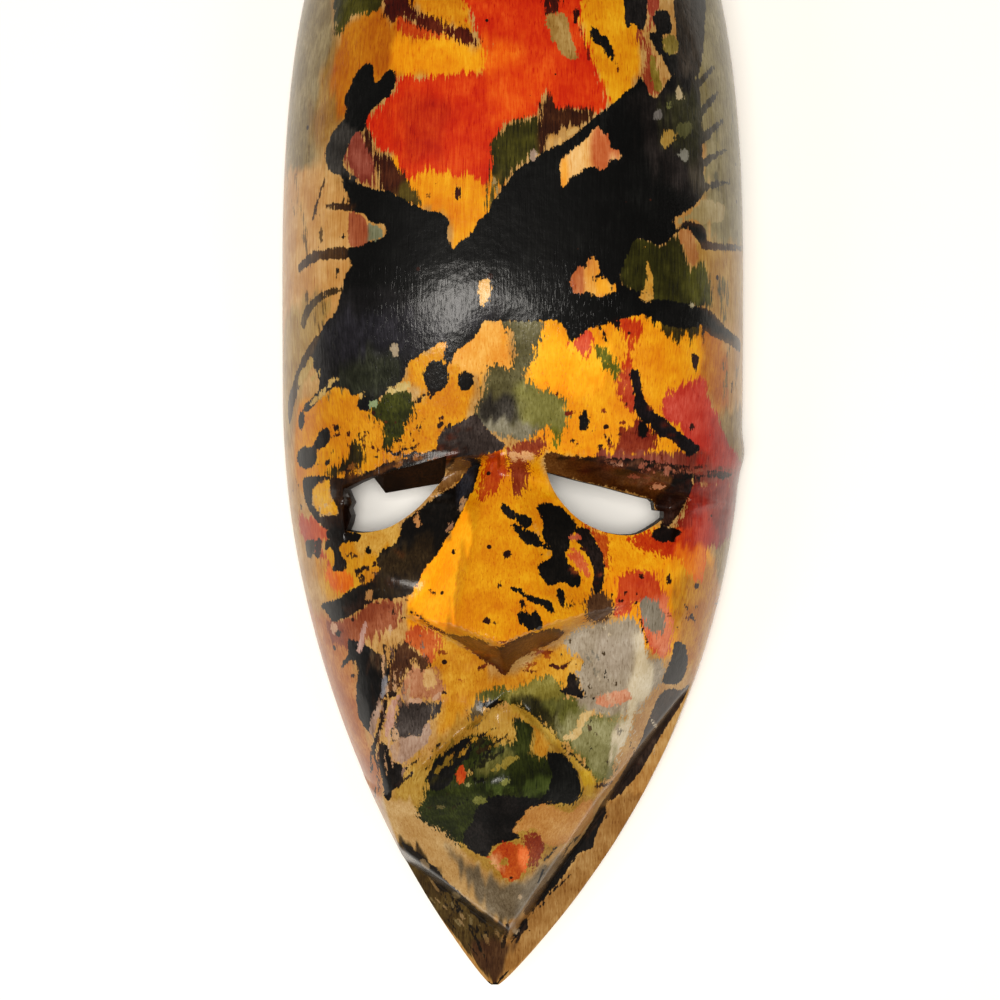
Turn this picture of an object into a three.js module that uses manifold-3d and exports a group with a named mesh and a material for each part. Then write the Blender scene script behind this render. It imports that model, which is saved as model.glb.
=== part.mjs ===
// A carved wooden face mask, lying face up on its flat back rim.
// Millimetres. +Z points out of the face, +Y to the crown of the forehead and +X to a viewer's
// right. The origin is the middle of the rim plane. The mask is made as a carver makes it: a
// rounded billet, flat cuts that leave the facets of the face, and a scooped back.
import * as THREE from 'three';
import { ConvexGeometry } from 'three/addons/geometries/ConvexGeometry.js';
import { ParametricGeometry } from 'three/addons/geometries/ParametricGeometry.js';
import { mergeVertices } from 'three/addons/utils/BufferGeometryUtils.js';
import Module from 'manifold-3d';

// The billet's outline: an arched crown, straight temples and a long jaw to a pointed chin.
const LENGTH = 367.4;
const HALF_WIDTH = 69.6;
const CROWN_Y = LENGTH / 2;
const TIP_Y = -LENGTH / 2;
const TEMPLES_Y = { from: -5, to: 25 };
const CROWN_ROUNDNESS = 2.6;
const JAW_RADIUS = ((TEMPLES_Y.from - TIP_Y) ** 2 + HALF_WIDTH ** 2) / (2 * HALF_WIDTH);
const TIP_ROUNDING = { size: 3.2, reach: 20 };
const TIP_DRIFT = { x: -5.4, fromY: -60 };

// The billet's height over the rim plane, along the middle, and the roundness of its section.
const FOREHEAD = { height: 62.5, y: 30 };
const BROW = { height: 52, y: -21.8, flare: 1.2 };
const CHIN_DROP = 22;
const SECTION_ROUNDNESS = 2.6;
const GLABELLA = { depth: 2.5, width: 7, fromY: -60, toY: 20, fade: 35 };

// The eye pits: a wall under the brow, a floor that rises to the cheeks, a wall at the corner.
const FACE_X = -3.8;
const LEFT_PIT = {
  wall: [[FACE_X, BROW.y, 52], [-48, -29.1, 52], [-44, -32.6, 37]],
  floor: [[FACE_X, -22.8, 38], [-48, -33, 35.5], [-30, -62, 48]],
  corner: [[-47, -30, 36], [-47, -45, 36], [-50, -38, 48]],
};
const RIGHT_PIT = {
  wall: [[FACE_X, BROW.y, 52], [66, -25.9, 52], [40.7, -36.3, 37]],
  floor: [[FACE_X, -22.8, 38], [45, -38, 35.5], [32, -62, 48]],
  corner: [[50.8, -29.4, 36], [43.6, -44.4, 36], [54, -42, 48]],
};

// The eye holes: a straight upper lid and a round lower lid.
const EYES = [
  { inner: [-17.5, -25.5], outer: [-47.5, -33.5], sag: 15 },
  { inner: [10.0, -28.8], outer: [42.5, -37.0], sag: 12 },
];
const LID_STEPS = 12;

// The nose: a wedge from the root between the brows to the tip, chiselled away underneath.
const NOSE_TIP = [FACE_X, -75.3, 60.5];
const NOSE_WINGS = { left: [-26.6, -68.6, 50], right: [21.4, -68, 50] };
const NOSE_EDGE = {
  left: [[-5.8, -23, 43.8], [-16.9, -75.3, 59]],
  right: [[-1.8, -23, 43.8], [11.2, -75.3, 59]],
};
const NOSE_CREASE = { left: [-24.5, -61, 47], right: [30, -66, 47] };
const PHILTRUM = [-1.8, -85.3, 40];
const NOSE_REACH = 36;

// The muzzle between the cheeks, with a slanted plane along the right of the jaw.
const MUZZLE = { left: [-39.5, -78.6, 44], right: [40.1, -66.9, 47], bottom: [-3, -120, 30.5] };
const JOWL_RIGHT = [[42, -75, 44], [25.2, -120, 31], [46, -112, 13]];

// The mouth: a raised diamond with a ridge across it, over a bevelled chin.
const MOUTH = {
  top: [-1.5, -92.5, 41.5],
  middle: [-3, -116.6, 47.5],
  left: [-35.6, -121.2, 32],
  right: [24.1, -119.2, 32.5],
  bottom: [-0.6, -146.9, 31],
};
const MOUTH_STANDS_PROUD = 1.13;
const LIP_STEP_SLOPE = 2.2;
const BEVEL_FOOT = [-1.4, -163, 21];
const CHIN_STEP = { left: [-36, -136, 24], right: [25.3, -121.8, 30] };
const CHIN_STEP_SLOPE = 3;
const FLANGE = [[TIP_DRIFT.x, TIP_Y, 5], [-35, -121, 14], [25, -121, 14]];

// The scooped back: its height along the middle, and the width of the rim left around it.
const RIM_WIDTH = 10;
const HOLLOW = [
  [-138, 0], [-131, 11], [-118, 19], [-100, 25], [-75, 32], [-45, 29], [-27, 31],
  [-8, 43], [25, 52], [70, 50], [120, 39], [150, 26], [165, 13], [CROWN_Y - 11, 0],
];
const HOLLOW_LID = 1;

// Fineness of the round surfaces, and a size beyond every cut.
const BILLET_COLUMNS = 36;
const BILLET_STEP = { face: 5, forehead: 9 };
const HOLLOW_COLUMNS = 16;
const HOLLOW_ROWS = 30;
const FAR = 250;

const clamp01 = (t) => Math.min(Math.max(t, 0), 1);
const mix = (a, b, t) => a + (b - a) * t;
const bell = (t) => Math.exp(-t * t);

// Half the width of the outline at y.
function halfWidth(y) {
  if (y > TEMPLES_Y.to) {
    const t = clamp01((y - TEMPLES_Y.to) / (CROWN_Y - TEMPLES_Y.to));
    return HALF_WIDTH * (1 - t ** CROWN_ROUNDNESS) ** (1 / CROWN_ROUNDNESS);
  }
  const down = Math.max(TEMPLES_Y.from - y, 0);
  const arc = HALF_WIDTH - JAW_RADIUS + Math.sqrt(JAW_RADIUS ** 2 - down ** 2);
  const up = Math.max(y - TIP_Y, 0);
  return Math.sqrt(Math.max(arc, 0) ** 2 + TIP_ROUNDING.size * up * Math.exp(-up / TIP_ROUNDING.reach));
}

// The middle of the outline, which drifts to the left towards the chin.
function midline(y) {
  return TIP_DRIFT.x * clamp01((TIP_DRIFT.fromY - y) / (TIP_DRIFT.fromY - TIP_Y)) ** 2;
}

// The billet's x at y, for s from -1 at the left rim to 1 at the right rim.
function across(s, y) {
  const flare = s > 0 ? BROW.flare * bell((y - BROW.y) / 5) : 0;
  return midline(y) + s * (halfWidth(y) + flare);
}

// Height of the billet's middle at y.
function ridgeHeight(y) {
  if (y > FOREHEAD.y) {
    const t = clamp01((y - FOREHEAD.y) / (CROWN_Y - FOREHEAD.y));
    return FOREHEAD.height * (1 - t ** 2.3) ** (1 / 2.3);
  }
  if (y > BROW.y) {
    const t = (FOREHEAD.y - y) / (FOREHEAD.y - BROW.y);
    return mix(FOREHEAD.height, BROW.height, t ** 2.2);
  }
  const t = clamp01((BROW.y - y) / (BROW.y - TIP_Y));
  return (BROW.height - CHIN_DROP * t ** 1.6) * (1 - t ** 40) ** 0.25;
}

// Height of the billet's round surface, with the shallow valley between the brows.
function billetHeight(s, x, y) {
  const section = Math.max(1 - Math.abs(s) ** SECTION_ROUNDNESS, 0) ** (1 / SECTION_ROUNDNESS);
  const inside = Math.min(y - GLABELLA.fromY, GLABELLA.toY - y);
  const valley = bell((x - FACE_X) / GLABELLA.width) * clamp01(inside / GLABELLA.fade);
  return (ridgeHeight(y) - GLABELLA.depth * valley) * section;
}

// Rows from the chin to the crown, closing up towards both ends.
function rowPlaces() {
  const rows = [TIP_Y];
  for (let y = TIP_Y; y < CROWN_Y - 1.5;) {
    const toEnd = Math.min(y - TIP_Y + 1.5, CROWN_Y - y);
    const spacing = mix(BILLET_STEP.face, BILLET_STEP.forehead, clamp01(y / 30));
    y += Math.min(spacing, 0.5 * toEnd + 0.4);
    rows.push(y);
  }
  rows.push(CROWN_Y);
  return rows;
}

const ROWS = rowPlaces();

// The billet as a closed surface: u runs over the front, then back under it on the rim plane.
function billetPoint(u, v, target) {
  const column = Math.round(u * (BILLET_COLUMNS + 1)) % (BILLET_COLUMNS + 1);
  const t = mix(-1, 1, column / BILLET_COLUMNS);
  const s = Math.sign(t) * (1 - (1 - Math.abs(t)) ** 1.35);
  const y = ROWS[Math.round(v * (ROWS.length - 1))];
  const x = across(s, y);
  target.set(x, y, Math.abs(s) === 1 ? 0 : billetHeight(s, x, y));
}

const hollowHeight = new THREE.CubicInterpolant(
  HOLLOW.map(([y]) => y), HOLLOW.map(([, z]) => z), 1);

// The scooped hollow as a closed surface, with a lid just under the rim plane.
function hollowPoint(u, v, target) {
  const column = Math.round(u * (HOLLOW_COLUMNS + 1)) % (HOLLOW_COLUMNS + 1);
  const angle = (Math.PI * column) / HOLLOW_COLUMNS;
  const [from, to] = [HOLLOW[0][0], HOLLOW[HOLLOW.length - 1][0]];
  const y = mix(from, to, (1 - Math.cos(Math.PI * v)) / 2);
  const isEnd = v < 1e-6 || v > 1 - 1e-6;
  const half = isEnd ? 0 : Math.max(halfWidth(y) - RIM_WIDTH, 0) * Math.sin(Math.PI * v) ** 0.25;
  const reach = Math.sign(Math.cos(angle)) * Math.abs(Math.cos(angle)) ** (2 / SECTION_ROUNDNESS);
  const rise = isEnd ? 0 : Math.max(Math.sin(angle), 0) ** (2 / SECTION_ROUNDNESS);
  const height = isEnd ? 0 : hollowHeight.evaluate(y)[0];
  target.set(midline(y) - half * reach, y, mix(-HOLLOW_LID, height, rise));
}

const wasm = await Module();
wasm.setup();

// A closed surface as a solid, with doubled points merged and empty triangles dropped.
function solidOf(geometry) {
  geometry.deleteAttribute('normal');
  geometry.deleteAttribute('uv');
  const merged = mergeVertices(geometry, 1e-5);
  const kept = [];
  for (let i = 0; i < merged.index.count; i += 3) {
    const [a, b, c] = [0, 1, 2].map((k) => merged.index.getX(i + k));
    if (a !== b && b !== c && c !== a) {
      kept.push(a, b, c);
    }
  }
  return new wasm.Manifold(new wasm.Mesh({
    numProp: 3,
    vertProperties: new Float32Array(merged.attributes.position.array),
    triVerts: new Uint32Array(kept),
  }));
}

function geometryOf(solid) {
  const mesh = solid.getMesh();
  const geometry = new THREE.BufferGeometry();
  geometry.setAttribute('position', new THREE.BufferAttribute(new Float32Array(mesh.vertProperties), 3));
  geometry.setIndex(new THREE.BufferAttribute(new Uint32Array(mesh.triVerts), 1));
  geometry.computeVertexNormals();
  return geometry;
}

// The height at x, y of the plane through three points.
function plane([p, q, r]) {
  const [ax, ay, az] = [q[0] - p[0], q[1] - p[1], q[2] - p[2]];
  const [bx, by, bz] = [r[0] - p[0], r[1] - p[1], r[2] - p[2]];
  const area = ax * by - bx * ay;
  const slopeX = (az * by - bz * ay) / area;
  const slopeY = (ax * bz - bx * az) / area;
  return (x, y) => p[2] + slopeX * (x - p[0]) + slopeY * (y - p[1]);
}

// All that lies between the plane through three points and a far level, over a wide square.
function slab(points, farZ) {
  const height = plane(points);
  const corners = [[-FAR, -FAR], [FAR, -FAR], [FAR, FAR], [-FAR, FAR]];
  const hull = corners.flatMap(([x, y]) => [
    new THREE.Vector3(x, y, height(x, y)),
    new THREE.Vector3(x, y, height(x, y) + farZ),
  ]);
  return solidOf(new ConvexGeometry(hull));
}

const above = (points) => slab(points, 10 * FAR);
const below = (points) => slab(points, -10 * FAR);
const common = (solids) => solids.reduce((a, b) => a.intersect(b));

// A block between two corners.
function block(low, high) {
  const size = high.map((h, i) => h - low[i]);
  const box = new THREE.BoxGeometry(...size);
  box.translate(...low.map((l, i) => l + size[i] / 2));
  return solidOf(box);
}

// Three points of the plane that falls away outward, at a slope, from the edge p to q.
function fallFrom(p, q, slope, outward) {
  const [dx, dy] = [q[0] - p[0], q[1] - p[1]];
  const long = Math.hypot(dx, dy);
  const [nx, ny] = [(-dy / long) * outward, (dx / long) * outward];
  return [p, q, [p[0] + nx, p[1] + ny, p[2] - slope]];
}

function eyePits() {
  const halves = [block([-FAR, -FAR, 0], [FACE_X, 0, FAR]), block([FACE_X, -FAR, 0], [FAR, 0, FAR])];
  return [LEFT_PIT, RIGHT_PIT].map((pit, i) =>
    common([halves[i], above(pit.wall), above(pit.floor), above(pit.corner)]));
}

// A half-moon prism through the wall for one eye hole.
function eyeHole({ inner, outer, sag }) {
  const [from, to] = [new THREE.Vector2(...inner), new THREE.Vector2(...outer)];
  const down = new THREE.Vector2(to.y - from.y, from.x - to.x).normalize();
  down.multiplyScalar(-Math.sign(down.y));
  const near = from.clone().lerp(to, 0.22).addScaledVector(down, sag * 1.25);
  const far = from.clone().lerp(to, 0.92).addScaledVector(down, sag * 1.35);
  const outline = new THREE.Shape();
  outline.moveTo(from.x, from.y);
  outline.bezierCurveTo(near.x, near.y, far.x, far.y, to.x, to.y);
  outline.closePath();
  return solidOf(new THREE.ExtrudeGeometry(outline, {
    depth: FOREHEAD.height,
    bevelEnabled: false,
    curveSegments: LID_STEPS,
  }));
}

function nose() {
  const { left, right } = NOSE_EDGE;
  return common([
    block([-NOSE_REACH, NOSE_TIP[1] - 20, 25], [NOSE_REACH, left[0][1], FAR]),
    below([left[0], left[1], NOSE_TIP]),
    below([right[0], right[1], NOSE_TIP]),
    below([...left, NOSE_CREASE.left]),
    below([...right, NOSE_CREASE.right]),
    below([NOSE_TIP, NOSE_WINGS.left, PHILTRUM]),
    below([NOSE_TIP, NOSE_WINGS.right, PHILTRUM]),
  ]);
}

function muzzleCut() {
  return above([MUZZLE.left, PHILTRUM, MUZZLE.bottom]).intersect(
    above([MUZZLE.right, PHILTRUM, MUZZLE.bottom]));
}

function mouth() {
  const { top, middle, left, right, bottom } = MOUTH;
  return common([
    block([-60, -170, 12], [60, top[1] + 3, FAR]),
    below([top, middle, left]),
    below([top, middle, right]),
    below([bottom, middle, left]),
    below([bottom, middle, right]),
    below(fallFrom(top, left, LIP_STEP_SLOPE, -1)),
    below(fallFrom(top, right, LIP_STEP_SLOPE, 1)),
  ]);
}

// What the bevels and the step under them take off the chin.
function chinCuts() {
  const { left, right, bottom } = MOUTH;
  return [
    above([left, bottom, BEVEL_FOOT]),
    above([right, bottom, BEVEL_FOOT]),
    above(fallFrom(CHIN_STEP.left, BEVEL_FOOT, CHIN_STEP_SLOPE, -1)),
    above(fallFrom(CHIN_STEP.right, BEVEL_FOOT, CHIN_STEP_SLOPE, 1)),
  ];
}

const billetShape = () => new ParametricGeometry(billetPoint, BILLET_COLUMNS + 1, ROWS.length - 1);
const billet = solidOf(billetShape());
const proudBillet = solidOf(billetShape().scale(1, 1, MOUTH_STANDS_PROUD));
const hollow = solidOf(new ParametricGeometry(hollowPoint, HOLLOW_COLUMNS + 1, HOLLOW_ROWS));
const flange = billet.intersect(below(FLANGE));

let body = billet;
for (const cut of [...eyePits(), muzzleCut(), above(JOWL_RIGHT)]) {
  body = body.subtract(cut);
}
body = body.add(nose()).add(mouth().intersect(proudBillet));
for (const cut of chinCuts()) {
  body = body.subtract(cut);
}
body = body.add(flange).subtract(hollow);
for (const eye of EYES) {
  body = body.subtract(eyeHole(eye));
}

const dyedWood = new THREE.MeshStandardMaterial({ color: 0xc47a1c, roughness: 0.4, metalness: 0 });
const mask = new THREE.Mesh(geometryOf(body), dyedWood);
mask.name = 'mask';

const group = new THREE.Group();
group.add(mask);

export default group;
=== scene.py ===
import math

import bmesh
import bpy
import numpy as np
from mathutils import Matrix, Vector


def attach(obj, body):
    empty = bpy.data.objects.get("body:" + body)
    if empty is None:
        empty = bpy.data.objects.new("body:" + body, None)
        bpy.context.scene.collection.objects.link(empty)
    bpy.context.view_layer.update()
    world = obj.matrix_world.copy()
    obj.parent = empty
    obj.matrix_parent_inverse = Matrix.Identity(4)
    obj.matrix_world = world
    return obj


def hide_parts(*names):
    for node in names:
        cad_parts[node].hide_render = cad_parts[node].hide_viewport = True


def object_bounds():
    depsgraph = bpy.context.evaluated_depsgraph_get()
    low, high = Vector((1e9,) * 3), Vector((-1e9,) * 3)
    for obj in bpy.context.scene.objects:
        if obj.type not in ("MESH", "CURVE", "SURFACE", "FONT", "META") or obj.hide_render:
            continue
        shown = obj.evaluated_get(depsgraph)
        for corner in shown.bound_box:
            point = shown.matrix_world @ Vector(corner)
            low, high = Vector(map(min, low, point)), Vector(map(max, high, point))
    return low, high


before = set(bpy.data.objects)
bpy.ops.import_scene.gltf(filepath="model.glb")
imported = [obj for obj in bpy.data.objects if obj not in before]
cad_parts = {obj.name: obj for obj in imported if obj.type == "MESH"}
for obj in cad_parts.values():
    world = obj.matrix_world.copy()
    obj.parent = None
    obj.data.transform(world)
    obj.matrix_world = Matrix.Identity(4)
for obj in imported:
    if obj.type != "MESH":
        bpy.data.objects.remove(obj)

cad_low, cad_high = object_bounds()
MM = 0.001
scene = bpy.context.scene

# The view: the mask lies on its back and is seen from straight above the nose root, from about
# 600 mm, so that the crown of the forehead runs out of the picture's upper edge.
VIEW_POINT = (-3.8, -35.8)
VIEW_HEIGHT = 600.0
PHOTO_SIDE = 1000
PIXEL_MM = 0.307
SENSOR = 36.0

camera_data = bpy.data.cameras.new("view")
camera_data.sensor_width = SENSOR
camera_data.lens = SENSOR * VIEW_HEIGHT / (PHOTO_SIDE * PIXEL_MM)
camera = bpy.data.objects.new("view", camera_data)
camera.location = (VIEW_POINT[0] * MM, VIEW_POINT[1] * MM, VIEW_HEIGHT * MM)
scene.collection.objects.link(camera)
scene.camera = camera

# The billet: a half-round length of light hardwood, sawn flat at the back and rounded over from
# rim to rim. Its long jaw runs to a point that leans a little to the left.
LENGTH = 367.4
HALF_WIDTH = 69.6
CROWN_Y = LENGTH / 2
TIP_Y = -LENGTH / 2
TEMPLES_FROM_Y, TEMPLES_TO_Y = -5.0, 25.0
ROUNDNESS = 2.6
JAW_RADIUS = ((TEMPLES_FROM_Y - TIP_Y) ** 2 + HALF_WIDTH ** 2) / (2 * HALF_WIDTH)
TIP_ROUND, TIP_REACH = 3.2, 20.0
TIP_X, DRIFT_FROM_Y = -5.4, -60.0
FOREHEAD_Z, FOREHEAD_Y = 62.5, 30.0
BROW_Z, BROW_Y, BROW_FLARE = 52.0, -21.8, 1.2
BROW_KNEE_Y, BROW_KNEE = 17.0, 6.0
CHIN_DROP = 22.0
FACE_X = -3.8


def blend(a, b, t):
    """a where t is 0, b where t is 1, and in proportion between."""
    return a + (b - a) * t


def half_width(y):
    """Half the outline: a flattened arch over the temples, a long circular arc to the chin."""
    t = np.clip((y - TEMPLES_TO_Y) / (CROWN_Y - TEMPLES_TO_Y), 0, 1)
    arch = HALF_WIDTH * (1 - t ** ROUNDNESS) ** (1 / ROUNDNESS)
    down = np.clip(TEMPLES_FROM_Y - y, 0, JAW_RADIUS)
    arc = np.maximum(HALF_WIDTH - JAW_RADIUS + np.sqrt(JAW_RADIUS ** 2 - down ** 2), 0)
    up = np.maximum(y - TIP_Y, 0)
    jaw = np.sqrt(arc ** 2 + TIP_ROUND * up * np.exp(-up / TIP_REACH))
    return np.where(y > TEMPLES_TO_Y, arch, jaw)


def midline(y):
    """The outline's middle, drifting left as the square of the way down to the chin."""
    return TIP_X * np.clip((DRIFT_FROM_Y - y) / (DRIFT_FROM_Y - TIP_Y), 0, 1) ** 2


def across(s, y):
    """x for s from -1 at the left rim to 1 at the right, with the flare at the right brow."""
    flare = np.where(s > 0, BROW_FLARE * np.exp(-((y - BROW_Y) / 5) ** 2), 0)
    return midline(y) + s * (half_width(y) + flare)


def part_across(x, y):
    """The inverse of across: s for a point of the mask."""
    flare = np.where(x > midline(y), BROW_FLARE * np.exp(-((y - BROW_Y) / 5) ** 2), 0)
    return (x - midline(y)) / np.maximum(half_width(y) + flare, 1e-6)


def ridge_height(y):
    """The billet's height along its middle: a quarter oval over the forehead, a roll down to
    the brow that starts with a soft knee, and a slow fall along the face to a blunt point."""
    t_up = np.clip((y - FOREHEAD_Y) / (CROWN_Y - FOREHEAD_Y), 0, 1)
    forehead = FOREHEAD_Z * (1 - t_up ** 2.3) ** (1 / 2.3)
    past_knee = np.log1p(np.exp((BROW_KNEE_Y - y) / BROW_KNEE))
    past_knee = past_knee - np.log1p(np.exp((BROW_KNEE_Y - FOREHEAD_Y) / BROW_KNEE))
    knee_to_brow = (BROW_KNEE_Y - BROW_Y) / BROW_KNEE
    roll = blend(FOREHEAD_Z, BROW_Z, np.clip(past_knee / knee_to_brow, 0, 1.5))
    t_down = np.clip((BROW_Y - y) / (BROW_Y - TIP_Y), 0, 1)
    face = (BROW_Z - CHIN_DROP * t_down ** 1.6) * (1 - t_down ** 40) ** 0.25
    return np.where(y > FOREHEAD_Y, forehead, np.where(y > BROW_Y, roll, face))


def section(s):
    """The rounded cross-section, from 1 in the middle to 0 at both rims."""
    return np.maximum(1 - np.abs(s) ** ROUNDNESS, 0) ** (1 / ROUNDNESS)


GLABELLA_DEPTH, GLABELLA_WIDTH = 2.5, 7.0
GLABELLA_FROM_Y, GLABELLA_TO_Y, GLABELLA_FADE = -60.0, 20.0, 35.0


def billet_height(s, x, y):
    """The round surface with the shallow valley between the brows."""
    inside = np.minimum(y - GLABELLA_FROM_Y, GLABELLA_TO_Y - y)
    valley = np.exp(-((x - FACE_X) / GLABELLA_WIDTH) ** 2) * np.clip(inside / GLABELLA_FADE, 0, 1)
    return (ridge_height(y) - GLABELLA_DEPTH * valley) * section(s)


# The facets: the carver takes the face out of the billet with flat cuts. Each facet is a plane
# through three points, and the knife and sandpaper leave every edge a little rounded.
def facet(p, q, r):
    """The height of the plane through three points, as a function of x and y."""
    (ax, ay, az), (bx, by, bz) = np.subtract(q, p), np.subtract(r, p)
    area = ax * by - bx * ay
    slope_x = (az * by - bz * ay) / area
    slope_y = (ax * bz - bx * az) / area
    return lambda x, y: p[2] + slope_x * (x - p[0]) + slope_y * (y - p[1])


def fall_from(p, q, slope, outward):
    """The facet that falls away at a slope, outward from the edge p to q."""
    dx, dy = q[0] - p[0], q[1] - p[1]
    long = math.hypot(dx, dy)
    foot = (p[0] - dy / long * outward, p[1] + dx / long * outward, p[2] - slope)
    return facet(p, q, foot)


def lower(a, b, k):
    """The lower of two heights, its edge rounded over about k."""
    t = np.clip(0.5 + 0.5 * (b - a) / k, 0, 1)
    return blend(b, a, t) - k * t * (1 - t)


def higher(a, b, k):
    """The higher of two heights, its hollow corner filled over about k."""
    return -lower(-a, -b, k)


# The eye pits: under the brow the chisel leaves a rough wall, steep on the left and slanting on
# the right, and the floor rises from its foot to the cheeks.
LEFT_WALL = facet((FACE_X, BROW_Y, 52), (-48, -29.1, 52), (-44, -32.6, 37))
LEFT_FLOOR = facet((FACE_X, -22.8, 38), (-48, -33, 35.5), (-30, -62, 48))
LEFT_CORNER = facet((-47, -30, 36), (-47, -45, 36), (-50, -38, 48))
RIGHT_WALL = facet((FACE_X, BROW_Y, 52), (66, -25.9, 52), (40.7, -36.3, 37))
RIGHT_FLOOR = facet((FACE_X, -22.8, 38), (45, -38, 35.5), (32, -62, 48))
RIGHT_CORNER = facet((50.8, -29.4, 36), (43.6, -44.4, 36), (54, -42, 48))


def eye_pits(x, y):
    """The highest of wall, floor and corner on each side, out of reach above the brow."""
    left = higher(higher(LEFT_WALL(x, y), LEFT_FLOOR(x, y), 0.8), LEFT_CORNER(x, y), 1.0)
    right = higher(higher(RIGHT_WALL(x, y), RIGHT_FLOOR(x, y), 1.5), RIGHT_CORNER(x, y), 2.0)
    pits = np.where(x < FACE_X, left, right)
    return np.where(y < -10, pits, 2 * FOREHEAD_Z)


# The nose: a broad wedge that rises from between the brows, with two front planes, a crisp flank
# on the left, a soft one on the right, and an underside cut back to the lip.
NOSE_TIP = (FACE_X, -75.3, 60.5)
NOSE_LEFT_EDGE = ((-5.8, -23, 43.8), (-16.9, -75.3, 59))
NOSE_RIGHT_EDGE = ((-1.8, -23, 43.8), (11.2, -75.3, 59))
NOSE_LEFT_CREASE, NOSE_RIGHT_CREASE = (-24.5, -61, 47), (30, -66, 47)
NOSE_LEFT_WING, NOSE_RIGHT_WING = (-26.6, -68.6, 50), (21.4, -68, 50)
PHILTRUM = (-1.8, -85.3, 40)
NOSE_REACH = 36.0
front_left = facet(*NOSE_LEFT_EDGE, NOSE_TIP)
front_right = facet(*NOSE_RIGHT_EDGE, NOSE_TIP)
flank_left = facet(*NOSE_LEFT_EDGE, NOSE_LEFT_CREASE)
flank_right = facet(*NOSE_RIGHT_EDGE, NOSE_RIGHT_CREASE)
under_left = facet(NOSE_TIP, NOSE_LEFT_WING, PHILTRUM)
under_right = facet(NOSE_TIP, NOSE_RIGHT_WING, PHILTRUM)


def nose(x, y):
    """The lowest of the six nose facets, and nothing beyond the wings."""
    front = lower(front_left(x, y), front_right(x, y), 1.5)
    flanks = lower(flank_left(x, y), flank_right(x, y), 2.0)
    under = lower(under_left(x, y), under_right(x, y), 1.0)
    wedge = lower(lower(front, flanks, 0.6), under, 0.6)
    return np.where((np.abs(x) < NOSE_REACH) & (y < NOSE_LEFT_EDGE[0][1]), wedge, -FOREHEAD_Z)


# The muzzle and mouth: the cheeks fall to a shallow valley, and out of it stands the mouth, a
# diamond with a ridge across it. A long slanted plane is taken off the right of the jaw.
MUZZLE_BOTTOM = (-3, -120, 30.5)
muzzle_left = facet((-39.5, -78.6, 44), PHILTRUM, MUZZLE_BOTTOM)
muzzle_right = facet((40.1, -66.9, 47), PHILTRUM, MUZZLE_BOTTOM)
jowl_right = facet((42, -75, 44), (25.2, -120, 31), (46, -112, 13))
MOUTH_TOP, MOUTH_MIDDLE, MOUTH_BOTTOM = (-1.5, -92.5, 41.5), (-3, -116.6, 47.5), (-0.6, -146.9, 31)
MOUTH_LEFT, MOUTH_RIGHT = (-35.6, -121.2, 32), (24.1, -119.2, 32.5)
LIP_STEP_SLOPE = 2.2
MOUTH_STANDS_PROUD = 1.13
lips = [
    facet(MOUTH_TOP, MOUTH_MIDDLE, MOUTH_LEFT),
    facet(MOUTH_TOP, MOUTH_MIDDLE, MOUTH_RIGHT),
    facet(MOUTH_BOTTOM, MOUTH_MIDDLE, MOUTH_LEFT),
    facet(MOUTH_BOTTOM, MOUTH_MIDDLE, MOUTH_RIGHT),
]
lip_steps = [
    fall_from(MOUTH_TOP, MOUTH_LEFT, LIP_STEP_SLOPE, -1),
    fall_from(MOUTH_TOP, MOUTH_RIGHT, LIP_STEP_SLOPE, 1),
]


def mouth(x, y):
    """The lowest of the four lip facets, soft where they meet, and of the two crisp steps."""
    upper = lower(lips[0](x, y), lips[1](x, y), 6.0)
    under = lower(lips[2](x, y), lips[3](x, y), 6.0)
    both = lower(upper, under, 2.0)
    return lower(both, lower(lip_steps[0](x, y), lip_steps[1](x, y), 0.8), 1.0)


# The chin: two bevels meet under the mouth and stop at a step, which stands on a low flange
# that runs out to the point.
BEVEL_FOOT = (-1.4, -163, 21)
CHIN_STEP_SLOPE = 3.0
bevels = [facet(MOUTH_LEFT, MOUTH_BOTTOM, BEVEL_FOOT), facet(MOUTH_RIGHT, MOUTH_BOTTOM, BEVEL_FOOT)]
chin_steps = [
    fall_from((-36, -136, 24), BEVEL_FOOT, CHIN_STEP_SLOPE, -1),
    fall_from((25.3, -121.8, 30), BEVEL_FOOT, CHIN_STEP_SLOPE, 1),
]
flange = facet((TIP_X, TIP_Y, 5), (-35, -121, 14), (25, -121, 14))


def carved_front(s, x, y):
    """The front's height: the billet, less pits, muzzle and jowl, plus nose and mouth, less the
    bevels and steps of the chin, but never under its flange or over the billet's roundness."""
    billet = billet_height(s, x, y)
    z = lower(billet, eye_pits(x, y), 0.8)
    z = lower(z, higher(muzzle_left(x, y), muzzle_right(x, y), 3.0), 5.0)
    z = lower(z, jowl_right(x, y), 5.0)
    z = higher(z, nose(x, y), np.where(x < FACE_X, 1.2, 4.0))
    z = higher(z, np.minimum(mouth(x, y), billet * MOUTH_STANDS_PROUD), 0.8)
    for cut in bevels:
        z = lower(z, cut(x, y), 1.0)
    for cut in chin_steps:
        z = lower(z, cut(x, y), 0.8)
    z = higher(z, np.minimum(flange(x, y), billet), 0.8)
    return np.where(np.abs(s) >= 1, 0, np.clip(z, 0, None))


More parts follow.
